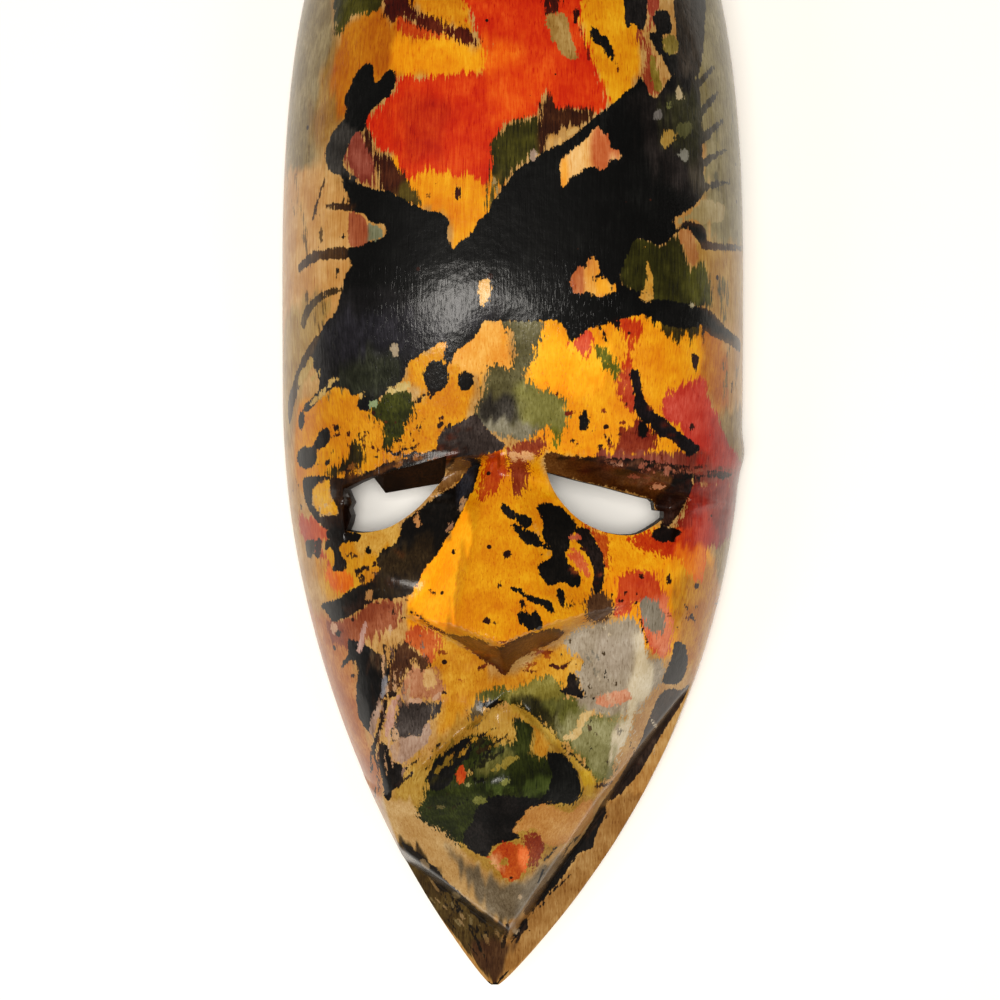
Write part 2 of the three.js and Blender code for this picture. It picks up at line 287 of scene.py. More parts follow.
# The hand of the carver: the sanded wood still waves a little, and the muzzle and the walls
# under the brow keep the flat nicks of the knife.
def lattice_noise(x, y, size_x, size_y, seed):
    """Smooth noise between -1 and 1: random values on a lattice, eased between its points."""
    rng = np.random.default_rng(seed)
    table = rng.uniform(-1, 1, (64, 64))
    u, v = x / size_x + 1000, y / size_y + 1000
    i, j = np.floor(u).astype(int), np.floor(v).astype(int)
    fu, fv = u - i, v - j
    fu, fv = fu * fu * (3 - 2 * fu), fv * fv * (3 - 2 * fv)
    near = blend(table[i % 64, j % 64], table[(i + 1) % 64, j % 64], fu)
    far = blend(table[i % 64, (j + 1) % 64], table[(i + 1) % 64, (j + 1) % 64], fu)
    return blend(near, far, fv)


def knife_marks(x, y, width, long, seed):
    """Shallow scoops: the square of the distance to the nearest of many scattered strokes."""
    scatter = np.random.default_rng(seed).uniform(0, 1, (64, 64, 2))
    u, v = x / width + 1000, y / long + 1000
    nearest = np.full(np.shape(u), 9.0)
    for di in (-1, 0, 1):
        for dj in (-1, 0, 1):
            i, j = np.floor(u).astype(int) + di, np.floor(v).astype(int) + dj
            du, dv = scatter[i % 64, j % 64].transpose(2, 0, 1)
            nearest = np.minimum(nearest, (u - i - du) ** 2 + (v - j - dv) ** 2)
    return nearest


WAVE = 0.22
NICK, SPLINTER = 1.6, 2.6


def worked_front(s, x, y):
    """The carved front with its waviness, and with knife nicks where it was left unsanded."""
    z = carved_front(s, x, y)
    easing = np.clip(section(s) * 2.0, 0, 1)
    wave = lattice_noise(x, y, 17, 24, 1) + 0.5 * lattice_noise(x, y, 8, 13, 2)
    rough = np.exp(-((x + 6) / 26) ** 2 - ((y + 96) / 17) ** 2)
    nicks = knife_marks(x, y, 5.0, 8.0, 3) - 0.15
    from_wall = y - (BROW_Y - 9 - 0.1 * np.abs(x - FACE_X))
    wall = np.exp(-(from_wall / 4.5) ** 2) * np.clip((np.abs(x - FACE_X) - 10) / 8, 0, 1)
    splinters = knife_marks(x, y, 13.0, 2.6, 4) - 0.15
    nicking = NICK * rough * nicks + SPLINTER * wall * splinters
    return np.maximum(z + easing * (WAVE * wave * 0.6 - WAVE * 0.5 + nicking), 0)


# The hollow back: scooped out along the grain with a gouge, which leaves a flat rim 10 mm wide
# and rows of shallow flutes. The chin is left solid.
RIM_WIDTH = 10.0
HOLLOW_Y = np.array([-138, -131, -118, -100, -75, -45, -27, -8, 25, 70, 120, 150, 165, CROWN_Y - 11])
HOLLOW_Z = np.array([0, 11, 19, 25, 32, 29, 31, 43, 52, 50, 39, 26, 13, 0], float)
GOUGE_WIDTH, GOUGE_DEPTH = 9.0, 0.7


def hollow_height(y):
    """The hollow's height along the middle: a cubic through the stations above."""
    slope = np.gradient(HOLLOW_Z, HOLLOW_Y)
    k = np.clip(np.searchsorted(HOLLOW_Y, y) - 1, 0, len(HOLLOW_Y) - 2)
    span = HOLLOW_Y[k + 1] - HOLLOW_Y[k]
    t = np.clip((y - HOLLOW_Y[k]) / span, 0, 1)
    rise = (3 - 2 * t) * t * t
    ends = span * (slope[k] * t * (1 - t) ** 2 - slope[k + 1] * t * t * (1 - t))
    height = blend(HOLLOW_Z[k], HOLLOW_Z[k + 1], rise) + ends
    return np.where((y <= HOLLOW_Y[0]) | (y >= HOLLOW_Y[-1]), 0, height)


def hollow_half_width(y):
    """Half the hollow's opening: the outline less the rim, closing in a round at both ends."""
    along = np.clip((y - HOLLOW_Y[0]) / (HOLLOW_Y[-1] - HOLLOW_Y[0]), 0, 1)
    return np.maximum(half_width(y) - RIM_WIDTH, 0) * (4 * along * (1 - along)) ** 0.25


def hollow_point(angle, y):
    """A point of the scooped hollow: an oval section with flutes along the grain."""
    power = 2 / ROUNDNESS
    reach = np.sign(np.cos(angle)) * np.abs(np.cos(angle)) ** power
    rise = np.abs(np.sin(angle)) ** power
    x = midline(y) + hollow_half_width(y) * reach
    flute = np.abs(np.sin(np.pi * (x + 4 * lattice_noise(x, y, 25, 60, 5)) / GOUGE_WIDTH))
    chop = lattice_noise(x, y, 7, 16, 6)
    depth = GOUGE_DEPTH * (flute + 0.6 * chop - 0.3) * np.clip(rise * 3, 0, 1)
    z = np.maximum(hollow_height(y) * rise - depth * np.clip(hollow_height(y) / 8, 0, 1), 0)
    return x, z


# The mesh: one loop of points for each row, over the front, along the rim, and back through the
# hollow. Rows lie close together on the face and bend with the brow.
FRONT_COLUMNS, RIM_COLUMNS, HOLLOW_COLUMNS = 194, 2, 46
FACE_STEP, FOREHEAD_STEP, END_STEP = 0.82, 1.35, 0.35
BROW_FALL_LEFT, BROW_FALL_RIGHT = 0.165, 0.06


def row_places():
    """y of every row: even steps of the face and the forehead, shorter towards both ends."""
    y = np.linspace(TIP_Y, CROWN_Y, 4001)
    step = blend(FACE_STEP, FOREHEAD_STEP, np.clip((y + 5) / 25, 0, 1))
    to_end = np.minimum(y - TIP_Y, CROWN_Y - y)
    step = np.minimum(step, END_STEP + 0.12 * to_end)
    count = np.concatenate([[0], np.cumsum(np.diff(y) / (0.5 * (step[1:] + step[:-1])))])
    return np.interp(np.linspace(0, count[-1], int(count[-1]) + 1), count, y)


rows = row_places()[:, None]
front_t = np.linspace(-1, 1, FRONT_COLUMNS + 1)[None, :]
front_s = np.sign(front_t) * (1 - (1 - np.abs(front_t)) ** 1.3)
fall = np.where(front_s < 0, BROW_FALL_LEFT, BROW_FALL_RIGHT) * np.abs(front_s) * HALF_WIDTH
front_y = rows - fall * np.exp(-((rows - BROW_Y) / 22) ** 2)
front_y[0], front_y[-1] = TIP_Y, CROWN_Y
front_x = across(front_s, front_y)
front_z = worked_front(np.broadcast_to(front_s, front_x.shape), front_x, front_y)
front_z[:, [0, -1]] = 0
front_z[[0, -1]] = 0

hollow_angle = np.linspace(0, np.pi, HOLLOW_COLUMNS + 1)[None, :]
hollow_y = np.broadcast_to(rows, (len(rows), HOLLOW_COLUMNS + 1))
hollow_x, hollow_z = hollow_point(hollow_angle, hollow_y)
closed = (rows[:, 0] <= HOLLOW_Y[0]) | (rows[:, 0] >= HOLLOW_Y[-1])
hollow_x[closed] = midline(rows[closed])
hollow_z[closed] = 0

rim_t = np.linspace(0, 1, RIM_COLUMNS + 1)[None, 1:-1]
right_x = blend(front_x[:, -1:], hollow_x[:, :1], rim_t)
right_y = blend(front_y[:, -1:], hollow_y[:, :1], rim_t)
left_x = blend(hollow_x[:, -1:], front_x[:, :1], rim_t)
left_y = blend(hollow_y[:, -1:], front_y[:, :1], rim_t)
loop = np.stack([
    np.concatenate([front_x, right_x, hollow_x, left_x], axis=1),
    np.concatenate([front_y, right_y, hollow_y, left_y], axis=1),
    np.concatenate([front_z, 0 * right_x, hollow_z, 0 * left_x], axis=1),
], axis=-1)
row_count, loop_count = loop.shape[:2]
k = np.arange(row_count * loop_count).reshape(row_count, loop_count)
after = np.roll(k, -1, axis=1)
quads = np.stack([k[:-1], after[:-1], after[1:], k[1:]], axis=-1).reshape(-1, 4)
column = np.broadcast_to(np.arange(loop_count), (row_count - 1, loop_count)).ravel()
is_back = column >= FRONT_COLUMNS


def mesh_of(name, points, faces):
    """A mesh from an array of points in millimetres and an array of faces."""
    mesh = bpy.data.meshes.new(name)
    mesh.from_pydata((points.reshape(-1, 3) * MM).tolist(), [], faces.tolist())
    return mesh


body = mesh_of("carved_mask", loop, quads)
DYED, BARE, CUT = 0, 1, 2
body.polygons.foreach_set("material_index", np.where(is_back, BARE, DYED).astype(np.int32))
welded = bmesh.new()
welded.from_mesh(body)
bmesh.ops.remove_doubles(welded, verts=welded.verts, dist=0.01 * MM)
bmesh.ops.dissolve_degenerate(welded, edges=welded.edges, dist=0.001 * MM)
bmesh.ops.recalc_face_normals(welded, faces=welded.faces)
welded.to_mesh(body)
welded.free()
mask = bpy.data.objects.new("carved_mask", body)
scene.collection.objects.link(mask)

# The eye holes: half-moons cut right through to the hollow, with a straight upper lid, a round
# lower lid, and chips at the outer corners where the knife broke out. Inside the left one the
# upper wall slopes inward as a ramp.
EYE_EDGE_Z, EYE_FOOT_Z, EYE_UNDER_Z = 40.0, 30.0, -5.0
LEFT_LID = [(-48.1, -32.6), (-44.1, -30.6), (-40.6, -29.2), (-37.2, -28.5), (-18.8, -23.4)]
LEFT_ROUND = [(-18.8, -23.4), (-19.8, -28.6), (-22.6, -32.8), (-26.8, -37.5), (-30.3, -40.4),
              (-34.9, -43.3), (-39.5, -44.7), (-44.0, -45.2), (-48.1, -44.7)]
LEFT_CHIPS = [(-47.2, -42.7), (-46.6, -40.4), (-47.3, -38.2), (-46.4, -36.4), (-47.5, -34.1)]
LEFT_RAMP_FOOT = ((-39.0, -34.3), (-22.2, -31.5))
LEFT_RAMP_TURN, LEFT_RAMP_LIFT, LEFT_RAMP_SHARE = 2.0, 10, 0.95
RIGHT_LID = [(39.4, -35.5), (36.5, -34.9), (25.0, -31.8), (17.8, -30.1), (9.4, -27.8)]
RIGHT_ROUND = [(9.4, -27.8), (11.2, -32.4), (13.5, -36.1), (16.9, -39.8), (19.8, -42.1),
               (23.8, -44.1), (27.8, -45.4), (31.9, -45.9), (35.3, -45.6), (38.2, -44.4),
               (41.1, -42.7)]
RIGHT_CHIPS = [(43.4, -41.0), (43.4, -39.1), (40.9, -38.8), (40.5, -36.4)]
ROUND_STEPS = 4


def rounded(corners, is_closed):
    """A path through the corners, rounded as a Catmull-Rom curve."""
    ring = np.vstack([corners[-1:], corners, corners[:2]]) if is_closed else \
        np.vstack([corners[:1], corners, corners[-1:]])
    a, b, c, d = ring[:-3], ring[1:-2], ring[2:-1], ring[3:]
    t = (np.arange(ROUND_STEPS) / ROUND_STEPS)[:, None, None]
    bend, twist = 2 * a - 5 * b + 4 * c - d, 3 * b - a - 3 * c + d
    curve = 0.5 * (2 * b + (c - a) * t + bend * t ** 2 + twist * t ** 3)
    curve = curve.transpose(1, 0, 2).reshape(-1, corners.shape[1])
    return curve if is_closed else np.vstack([curve, corners[-1:]])


def above_ramp(x, y):
    """How far the ramp carries a point of the left eye down to its foot, a slanting line that
    turns up at its outer end. A twentieth of the height is kept, so that no two edges meet."""
    (ax, ay), (bx, by) = LEFT_RAMP_FOOT
    turn = LEFT_RAMP_LIFT * np.clip((ax - x) / LEFT_RAMP_TURN, 0, 1)
    return LEFT_RAMP_SHARE * np.maximum(y - (ay + (x - ax) * (by - ay) / (bx - ax) + turn), 0)


def eye_cutter(name, lid, lower_lid, chips):
    """A prism from under the rim plane to over the brow, narrowed below by the ramp."""
    outline = np.array([*lid[:-1], *rounded(np.array(lower_lid), False), *chips])
    foot = outline.copy()
    foot[:, 1] -= above_ramp(*outline.T) * (outline[:, 0] < FACE_X)
    rings = [(foot, EYE_UNDER_Z), (foot, EYE_FOOT_Z), (outline, EYE_EDGE_Z), (outline, FOREHEAD_Z + 5)]
    n = len(outline)
    corners = np.concatenate([np.column_stack([ring, np.full(n, z)]) for ring, z in rings])
    sides = [(n * j + i, n * j + (i + 1) % n, n * (j + 1) + (i + 1) % n, n * (j + 1) + i)
             for j in range(len(rings) - 1) for i in range(n)]
    mesh = bpy.data.meshes.new(name)
    mesh.from_pydata((corners * MM).tolist(), [], [tuple(range(n)), tuple(range(3 * n, 4 * n)), *sides])
    solid = bmesh.new()
    solid.from_mesh(mesh)
    bmesh.ops.recalc_face_normals(solid, faces=solid.faces)
    solid.to_mesh(mesh)
    solid.free()
    cutter = bpy.data.objects.new(name, mesh)
    scene.collection.objects.link(cutter)
    return cutter


dyed_wood = bpy.data.materials.new("dyed_varnished_wood")
bare_wood = bpy.data.materials.new("bare_gouged_wood")
# The knife cuts of the eye holes are dark brown, partly a stain and partly painted shade inside the holes.
cut_wood_with_painted_shade = bpy.data.materials.new("knife_cut_stain_and_painted_shade")
for material in (dyed_wood, bare_wood, cut_wood_with_painted_shade):
    body.materials.append(material)
for cutter in (eye_cutter("left_eye_cutter", LEFT_LID, LEFT_ROUND, LEFT_CHIPS),
               eye_cutter("right_eye_cutter", RIGHT_LID, RIGHT_ROUND, RIGHT_CHIPS)):
    for material in (dyed_wood, bare_wood, cut_wood_with_painted_shade):
        cutter.data.materials.append(material)
    cutter.data.polygons.foreach_set("material_index", [CUT] * len(cutter.data.polygons))
    cut = mask.modifiers.new("eye_hole", 'BOOLEAN')
    cut.operation = 'DIFFERENCE'
    cut.solver = 'EXACT'
    cut.object = cutter
    bpy.context.view_layer.objects.active = mask
    mask.select_set(True)
    bpy.ops.object.modifier_apply(modifier=cut.name)
    bpy.data.objects.remove(cutter)

points = np.empty(len(body.vertices) * 3)
body.vertices.foreach_get("co", points)
points = np.clip(points.reshape(-1, 3), cad_low, cad_high)
body.vertices.foreach_set("co", points.ravel())
body.polygons.foreach_set("use_smooth", np.ones(len(body.polygons), bool))
body.set_sharp_from_angle(angle=math.radians(50))
body.update()

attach(mask, "root")
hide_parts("mask")


# The dye: the maker throws and brushes spirit dyes on the bare wood, light ones first and black
# last, and each soaks in along the grain. A splash is set down by its places in the view from
# above, in picture points, and is carried from there to the round wood, where it is unrolled:
# one length across the billet, measured round its section, and one along the grain.
SOAK = 8.0
ARC_STEPS = 28
DROP_SHRINK = 0.92


def seen_point(place):
    """The x and y of the carved wood that the view shows at a picture point."""
    across_px, down_px = np.array(place, float).T
    z = np.full(len(across_px), 45.0)
    for _ in range(8):
        scale = PIXEL_MM * (1 - z / VIEW_HEIGHT)
        x = VIEW_POINT[0] + (across_px - PHOTO_SIDE / 2) * scale
        y = VIEW_POINT[1] - (down_px - PHOTO_SIDE / 2) * scale
        y = np.clip(y, TIP_Y, CROWN_Y)
        z = blend(z, carved_front(np.clip(part_across(x, y), -1, 1), x, y), 0.7)
    return x, y


def unrolled(x, y):
    """Length round the billet's section from its middle, and length along the grain."""
    s = np.clip(part_across(x, y), -1, 1)
    t = np.sin(np.linspace(0, np.pi / 2, ARC_STEPS + 1))
    step_s = np.abs(s)[..., None] * t
    section_x = half_width(y)[..., None] * step_s
    section_z = ridge_height(y)[..., None] * section(step_s)
    length = np.hypot(np.diff(section_x, axis=-1), np.diff(section_z, axis=-1)).sum(axis=-1)
    return np.sign(s) * length, y


wood_x, wood_y = points[:, 0] / MM, points[:, 1] / MM
wood = np.column_stack(unrolled(wood_x, np.clip(wood_y, TIP_Y + 0.01, CROWN_Y - 0.01)))


def on_wood(places):
    """Picture points carried to the unrolled wood."""
    return np.column_stack(unrolled(*seen_point(places)))


def near_path(path, reach):
    """The numbers of the wood's points that lie within reach of a path's own box."""
    inside = (wood > path[:, :2].min(axis=0) - reach) & (wood < path[:, :2].max(axis=0) + reach)
    return np.nonzero(inside.all(axis=1))[0]


def to_segments(place, start, end):
    """Distance from each place to each segment, and how far along the segment it falls."""
    along = end - start
    from_start = place[:, None] - start
    t = np.clip((from_start * along).sum(-1) / np.maximum((along ** 2).sum(-1), 1e-9), 0, 1)
    return np.hypot(*(from_start - t[..., None] * along).transpose(2, 0, 1)), t


def inside_outline(places):
    """Millimetres inside a rounded closed outline, less than nothing outside it."""
    path = rounded(on_wood(places), True)
    near = near_path(path, SOAK)
    place = wood[near]
    start, end = path, np.roll(path, -1, axis=0)
    distance = to_segments(place, start, end)[0].min(axis=1)
    level = place[:, 1, None]
    spans = (start[:, 1] > level) != (end[:, 1] > level)
    slope = (end[:, 0] - start[:, 0]) / np.where(end[:, 1] == start[:, 1], 1, end[:, 1] - start[:, 1])
    crossing = start[:, 0] + slope * (level - start[:, 1])
    inside = (spans & (place[:, 0, None] < crossing)).sum(axis=1) % 2 == 1
    return near, np.where(inside, distance, -distance)


def inside_stroke(places):
    """Millimetres inside a brush stroke or drip given as picture points with a width each."""
    places = np.array(places, float)
    width = places[:, 2:] * PIXEL_MM
    path = rounded(np.column_stack([on_wood(places[:, :2]), width / 2]), False)
    near = near_path(path, SOAK)
    distance, t = to_segments(wood[near], path[:-1, :2], path[1:, :2])
    half = blend(path[:-1, 2], path[1:, 2], t)
    return near, (half - distance).max(axis=1)


def inside_drops(places):
    """Millimetres inside drops given as picture points with two radii each."""
    centre = on_wood([place[:2] for place in places])
    field = np.full(len(wood), -SOAK)
    for (a, b), place in zip(centre, places):
        radius = np.array(place[2:4]) * PIXEL_MM * DROP_SHRINK
        ratio = np.hypot((wood[:, 0] - a) / radius[0], (wood[:, 1] - b) / radius[1])
        field = np.maximum(field, (1 - ratio) * radius.min())
    near = np.nonzero(field > -SOAK)[0]
    return near, field[near]


def srgb(hex_colour):
    """A linear colour with alpha from an sRGB hex value such as "C08040"."""
    channels = [int(hex_colour[i:i + 2], 16) / 255 for i in (0, 2, 4)]
    return [c / 12.92 if c <= 0.04045 else ((c + 0.055) / 1.055) ** 2.4 for c in channels] + [1.0]


STREAK_WIDTH, STREAK_LONG, BLOT = 1.3, 8.0, 3.0
streaks = lattice_noise(*wood.T, STREAK_WIDTH, STREAK_LONG, 11)
blots = lattice_noise(*wood.T, BLOT, 1.5 * BLOT, 12)


class Coat:
    """One dye as it lies on the wood: how far inside its edge each point is, and its colour. Its
    edges run out along the grain by about creep millimetres."""

    def __init__(self, colour, creep):
        self.field = np.full(len(wood), -SOAK)
        self.colour = np.tile(srgb(colour), (len(wood), 1))
        self.creep = creep * (0.6 * streaks + 0.5 * blots)

    def lay(self, colour, shape):
        """Add a splash, its colour over those before it."""
        near, field = shape
        field = field + np.clip(field + 1.5, 0, 1) * self.creep[near]
        was = self.field[near]
        share = np.where((was < 0) & (field > was), 1, np.clip(field + 0.5, 0, 1))
        self.colour[near] = blend(self.colour[near], np.array(srgb(colour)), share[:, None])
        self.field[near] = np.maximum(was, field)

    def tint(self, colour, soft, shape):
        """Change the colour only, with an edge that fades over soft millimetres."""
        near, field = shape
        share = np.clip(0.5 + 0.5 * (field + 2 * streaks[near] + 1.5 * blots[near]) / (0.6 * soft), 0, 1)
        share = share * share * (3 - 2 * share)
        self.colour[near] = blend(self.colour[near], np.array(srgb(colour)), share[:, None])

    def spare(self, shape):
        """Leave a window where the dye didn't reach."""
        near, field = shape
        self.field[near] = np.minimum(self.field[near], -field)


# Bare wood and yellow dye: the wood is tan, darker and olive-grey on the steep sides, where the
# olive-grey is partly painted reflection of the pale sheet, and yellow and ochre over the forehead,
# the brows, the nose and cheeks, with a painted glint and sheen on the brows and painted light on
# the nose's left facet.
ground = Coat("B8925A", 0)
ground.field[:] = SOAK
# The olive-grey of the left side is partly the wood's tone and partly painted reflection of the pale sheet.
left_side_tones_and_painted_reflection = [
    ("8C7A50", 4.0, [(286, -60), (330, -60), (336, 40), (331, 90), (322, 140), (308, 172), (285, 180)]),
    ("A27C3C", 5.0, [(330, 50), (350, 60), (346, 108), (318, 150), (312, 120)]),
    ("C49A60", 2.5, [(284, 185), (300, 172), (320, 168), (346, 190), (366, 215), (360, 245), (345, 300),
        (315, 345), (300, 400), (284, 400)]),
    ("A88A50", 3.0, [(284, 330), (305, 300), (330, 300), (322, 330), (304, 380), (292, 440), (284, 440)]),
]
yellow_forehead_and_brows_with_painted_glint = [
    ("B8760E", 3.0, [(345, 22), (378, 8), (405, 30), (450, 40), (452, 78), (396, 80), (372, 110),
        (342, 112), (331, 80), (338, 45)]),
    ("DF9D14", 4.0, [(400, 38), (450, 36), (492, 50), (492, 74), (440, 80), (398, 78), (392, 56)]),
    ("CB8D18", 1.5, [(408, -60), (466, -60), (472, 30), (448, 24), (420, 12), (408, 0)]),
    ("D39712", 2.0, [(574, -60), (630, -60), (640, 30), (640, 62), (634, 88), (610, 108), (598, 80),
        (584, 45)]),
    ("D9950F", 2.0, [(396, 150), (500, 150), (494, 215), (462, 246), (450, 250), (446, 222), (402, 200)]),
    # Pale beige over the left brow, lightened as a painted sheen of the varnish.
    ("E0A850", 2.0, [(436, 334), (486, 318), (514, 322), (516, 352), (512, 376), (470, 380), (440, 366)]),
    ("CF9318", 2.0, [(404, 356), (440, 352), (450, 366), (476, 376), (476, 410), (430, 452), (396, 456),
        (398, 420), (420, 392), (404, 384)]),
    ("CB8F14", 3.0, [(296, 414), (318, 398), (342, 382), (388, 410), (440, 420), (440, 456), (344, 486),
        (300, 490), (294, 460)]),
    ("DD9B12", 3.0, [(526, 318), (700, 318), (706, 380), (690, 460), (560, 460), (526, 440), (524, 372)]),
    # Painted glint: the lamp's highlight on the right brow, in a bright yellow.
    ("F7B526", 6.0, [(530, 340), (600, 345), (606, 372), (560, 392), (530, 376)]),
    ("B87A22", 3.0, [(698, 322), (716, 328), (728, 352), (730, 440), (716, 430), (704, 380)]),
]
yellow_nose_and_cheeks_with_painted_light = [
    ("D4950E", 3.0, [(470, 452), (530, 456), (600, 540), (612, 600), (560, 634), (500, 648), (440, 636),
        (404, 622), (420, 570), (450, 520)]),
    # Painted light: the nose's left facet in a brighter yellow, as if lit from the left.
    ("FFB41C", 1.0, [(410, 600), (430, 558), (456, 520), (474, 500), (462, 560), (447, 628), (422, 620)]),
    ("C28D1C", 3.0, [(332, 530), (400, 526), (404, 560), (372, 590), (330, 600), (316, 570), (322, 548)]),
    ("C8A050", 3.0, [(352, 528), (398, 524), (398, 540), (366, 552)]),
    ("B4773A", 4.0, [(296, 600), (334, 620), (352, 660), (362, 720), (382, 790), (340, 790), (290, 680)]),
    ("C28D26", 3.0, [(404, 640), (470, 642), (505, 676), (570, 640), (580, 672), (562, 690), (512, 700),
        (474, 712), (440, 736), (438, 690), (424, 660)]),
    ("DF9D12", 3.0, [(600, 530), (700, 540), (716, 560), (712, 640), (664, 660), (612, 612)]),
    ("B8821C", 4.0, [(672, 600), (712, 560), (730, 600), (706, 690), (684, 660)]),
]
# The olive-grey of the right side is partly the wood's tone and partly painted reflection of the pale sheet.
right_side_tones_and_painted_reflection = [
    ("8C8058", 3.0, [(694, -60), (745, -60), (750, 240), (716, 250), (704, 160), (688, 60)]),
    ("B08C48", 3.0, [(694, 236), (712, 244), (745, 250), (745, 326), (716, 318), (700, 300)]),
    ("8E7440", 3.0, [(712, 420), (745, 420), (745, 560), (716, 580), (722, 500)]),
]
wood_of_mouth_and_chin_with_painted_reflection = [
    ("A8853A", 3.0, [(390, 800), (440, 738), (508, 704), (560, 740), (600, 792), (560, 850), (508, 884),
        (440, 840)]),
    ("B49044", 3.0, [(470, 712), (508, 703), (530, 718), (516, 742), (480, 744), (456, 736)]),
    # The chin's bevels, pale grey-tan and grey, are partly painted reflection of the pale sheet on these
    # downward-facing facets.
    ("BE9E6C", 1.5, [(384, 800), (412, 806), (450, 836), (508, 884), (560, 846), (600, 800), (606, 806),
        (560, 880), (508, 926), (440, 880), (398, 840)]),
    ("7C6E58", 3.0, [(450, 850), (508, 886), (560, 856), (560, 880), (508, 924), (470, 890)]),
    ("52401C", 1.2, [(398, 840), (424, 856), (466, 902), (508, 928), (504, 1000), (440, 1000), (380, 860)]),
    ("A27C48", 1.2, [(508, 928), (540, 900), (584, 850), (612, 800), (660, 800), (600, 900), (520, 1000),
        (504, 1000)]),
    ("5C4026", 3.0, [(470, 950), (512, 944), (520, 1000), (460, 1000)]),
]
for colour, soft, outline in (left_side_tones_and_painted_reflection + yellow_forehead_and_brows_with_painted_glint + yellow_nose_and_cheeks_with_painted_light
                              + right_side_tones_and_painted_reflection + wood_of_mouth_and_chin_with_painted_reflection):
    ground.tint(colour, soft, inside_outline(outline))

# Red and rose dye: thin spirit dye brushed along the grain, so its edges run out in streaks.
red = Coat("C7410A", 1.6)
red_on_the_forehead = [
    ("C9410A", [(466, -60), (466, 0), (472, 26), (480, 42), (486, 56), (482, 72), (462, 74), (440, 76),
        (396, 77), (394, 90), (376, 109), (366, 120), (372, 138), (378, 152), (392, 156), (400, 172),
        (412, 180), (426, 170), (440, 173), (456, 177), (470, 172), (484, 184), (495, 165), (492, 148),
        (498, 134), (512, 122), (534, 117), (545, 95), (554, 110), (585, 112), (600, 114), (608, 102),
        (603, 84), (592, 56), (584, 36), (579, 14), (583, -10), (583, -60)]),
    ("BA5014", [(397, 14), (415, 20), (446, 34), (440, 39), (410, 37), (400, 28)]),
    ("8A4636", [(350, 132), (360, 129), (367, 142), (374, 155), (377, 170), (376, 189), (366, 184),
        (352, 173), (344, 164), (345, 148)]),
    ("9A4E30", [(640, 26), (648, 45), (656, 64), (662, 84), (657, 94), (650, 98), (633, 108), (628, 104),
        (634, 93), (642, 82), (644, 60), (638, 42)]),
    ("9C4A34", [(645, -60), (658, -60), (656, 10), (652, 28), (646, 20)]),
]
rose_on_the_brows = [
    ("CE5A3C", [(571, 343), (580, 332), (588, 329), (593, 336), (592, 346), (590, 356), (580, 353),
        (575, 349)]),
    ("BE4910", [(614, 318), (626, 318), (637, 322), (640, 335), (635, 348), (631, 358), (633, 372),
        (622, 372), (622, 356), (624, 345), (620, 332)]),
    ("B85230", [(622, 368), (634, 372), (632, 384), (635, 396), (638, 403), (632, 409), (624, 405),
        (617, 398), (616, 388), (619, 378)]),
    ("C04C3C", [(660, 405), (666, 395), (676, 385), (690, 380), (702, 378), (707, 390), (713, 402),
        (718, 416), (723, 430), (730, 446), (738, 462), (720, 472), (700, 460), (690, 442), (678, 430),
        (666, 418)]),
    ("8E3E24", [(608, 436), (614, 444), (620, 437), (626, 429), (636, 422), (646, 425), (655, 434),
        (657, 445), (652, 453), (640, 456), (625, 456), (613, 451)]),
    ("8A4A3A", [(600, 452), (640, 452), (690, 450), (734, 456), (742, 478), (730, 492), (700, 486),
        (680, 480), (640, 474), (604, 464)]),
    ("B45212", [(487, 452), (500, 449), (506, 455), (507, 470), (503, 486), (498, 493), (490, 492),
        (483, 500), (476, 499), (478, 485), (482, 468)]),
    ("8E4222", [(505, 450), (514, 444), (530, 440), (546, 434), (548, 448), (536, 454), (529, 462),
        (530, 480), (525, 490), (519, 497), (515, 491), (511, 478), (507, 464)]),
]
red_on_the_cheeks = [
    ("8E3222", [(690, 484), (712, 482), (730, 480), (740, 500), (732, 532), (706, 550), (692, 546),
        (678, 528), (684, 505)]),
    ("BE4910", [(630, 536), (652, 532), (680, 530), (702, 528), (705, 560), (700, 580), (690, 574),
        (680, 557), (664, 557), (646, 549), (628, 543)]),
    ("B35214", [(584, 524), (598, 532), (608, 542), (606, 580), (602, 570), (598, 548), (590, 536)]),
    ("C86040", [(620, 578), (636, 572), (656, 573), (661, 585), (668, 604), (673, 640), (664, 658),
        (650, 652), (640, 622), (636, 606), (622, 618), (611, 615), (616, 597)]),
    ("B85A30", [(300, 514), (316, 520), (328, 531), (323, 545), (328, 562), (334, 576), (322, 562),
        (312, 545), (300, 536)]),
    ("CE7018", [(326, 566), (344, 572), (354, 584), (340, 592), (328, 582)]),
    ("96583A", [(326, 622), (350, 616), (370, 602), (392, 598), (404, 606), (396, 626), (372, 640),
        (362, 656), (346, 650), (333, 642)]),
    ("B8602C", [(406, 634), (424, 626), (442, 640), (434, 656), (428, 665), (417, 655), (404, 646)]),
    ("B08060", [(401, 690), (406, 674), (414, 662), (422, 668), (436, 668), (442, 680), (442, 700),
        (420, 700), (400, 698)]),
    ("8A3C1C", [(524, 842), (530, 834), (540, 832), (548, 840), (540, 858), (530, 868)]),
]
for colour, outline in (red_on_the_forehead + rose_on_the_brows + red_on_the_cheeks):
    red.lay(colour, inside_outline(outline))
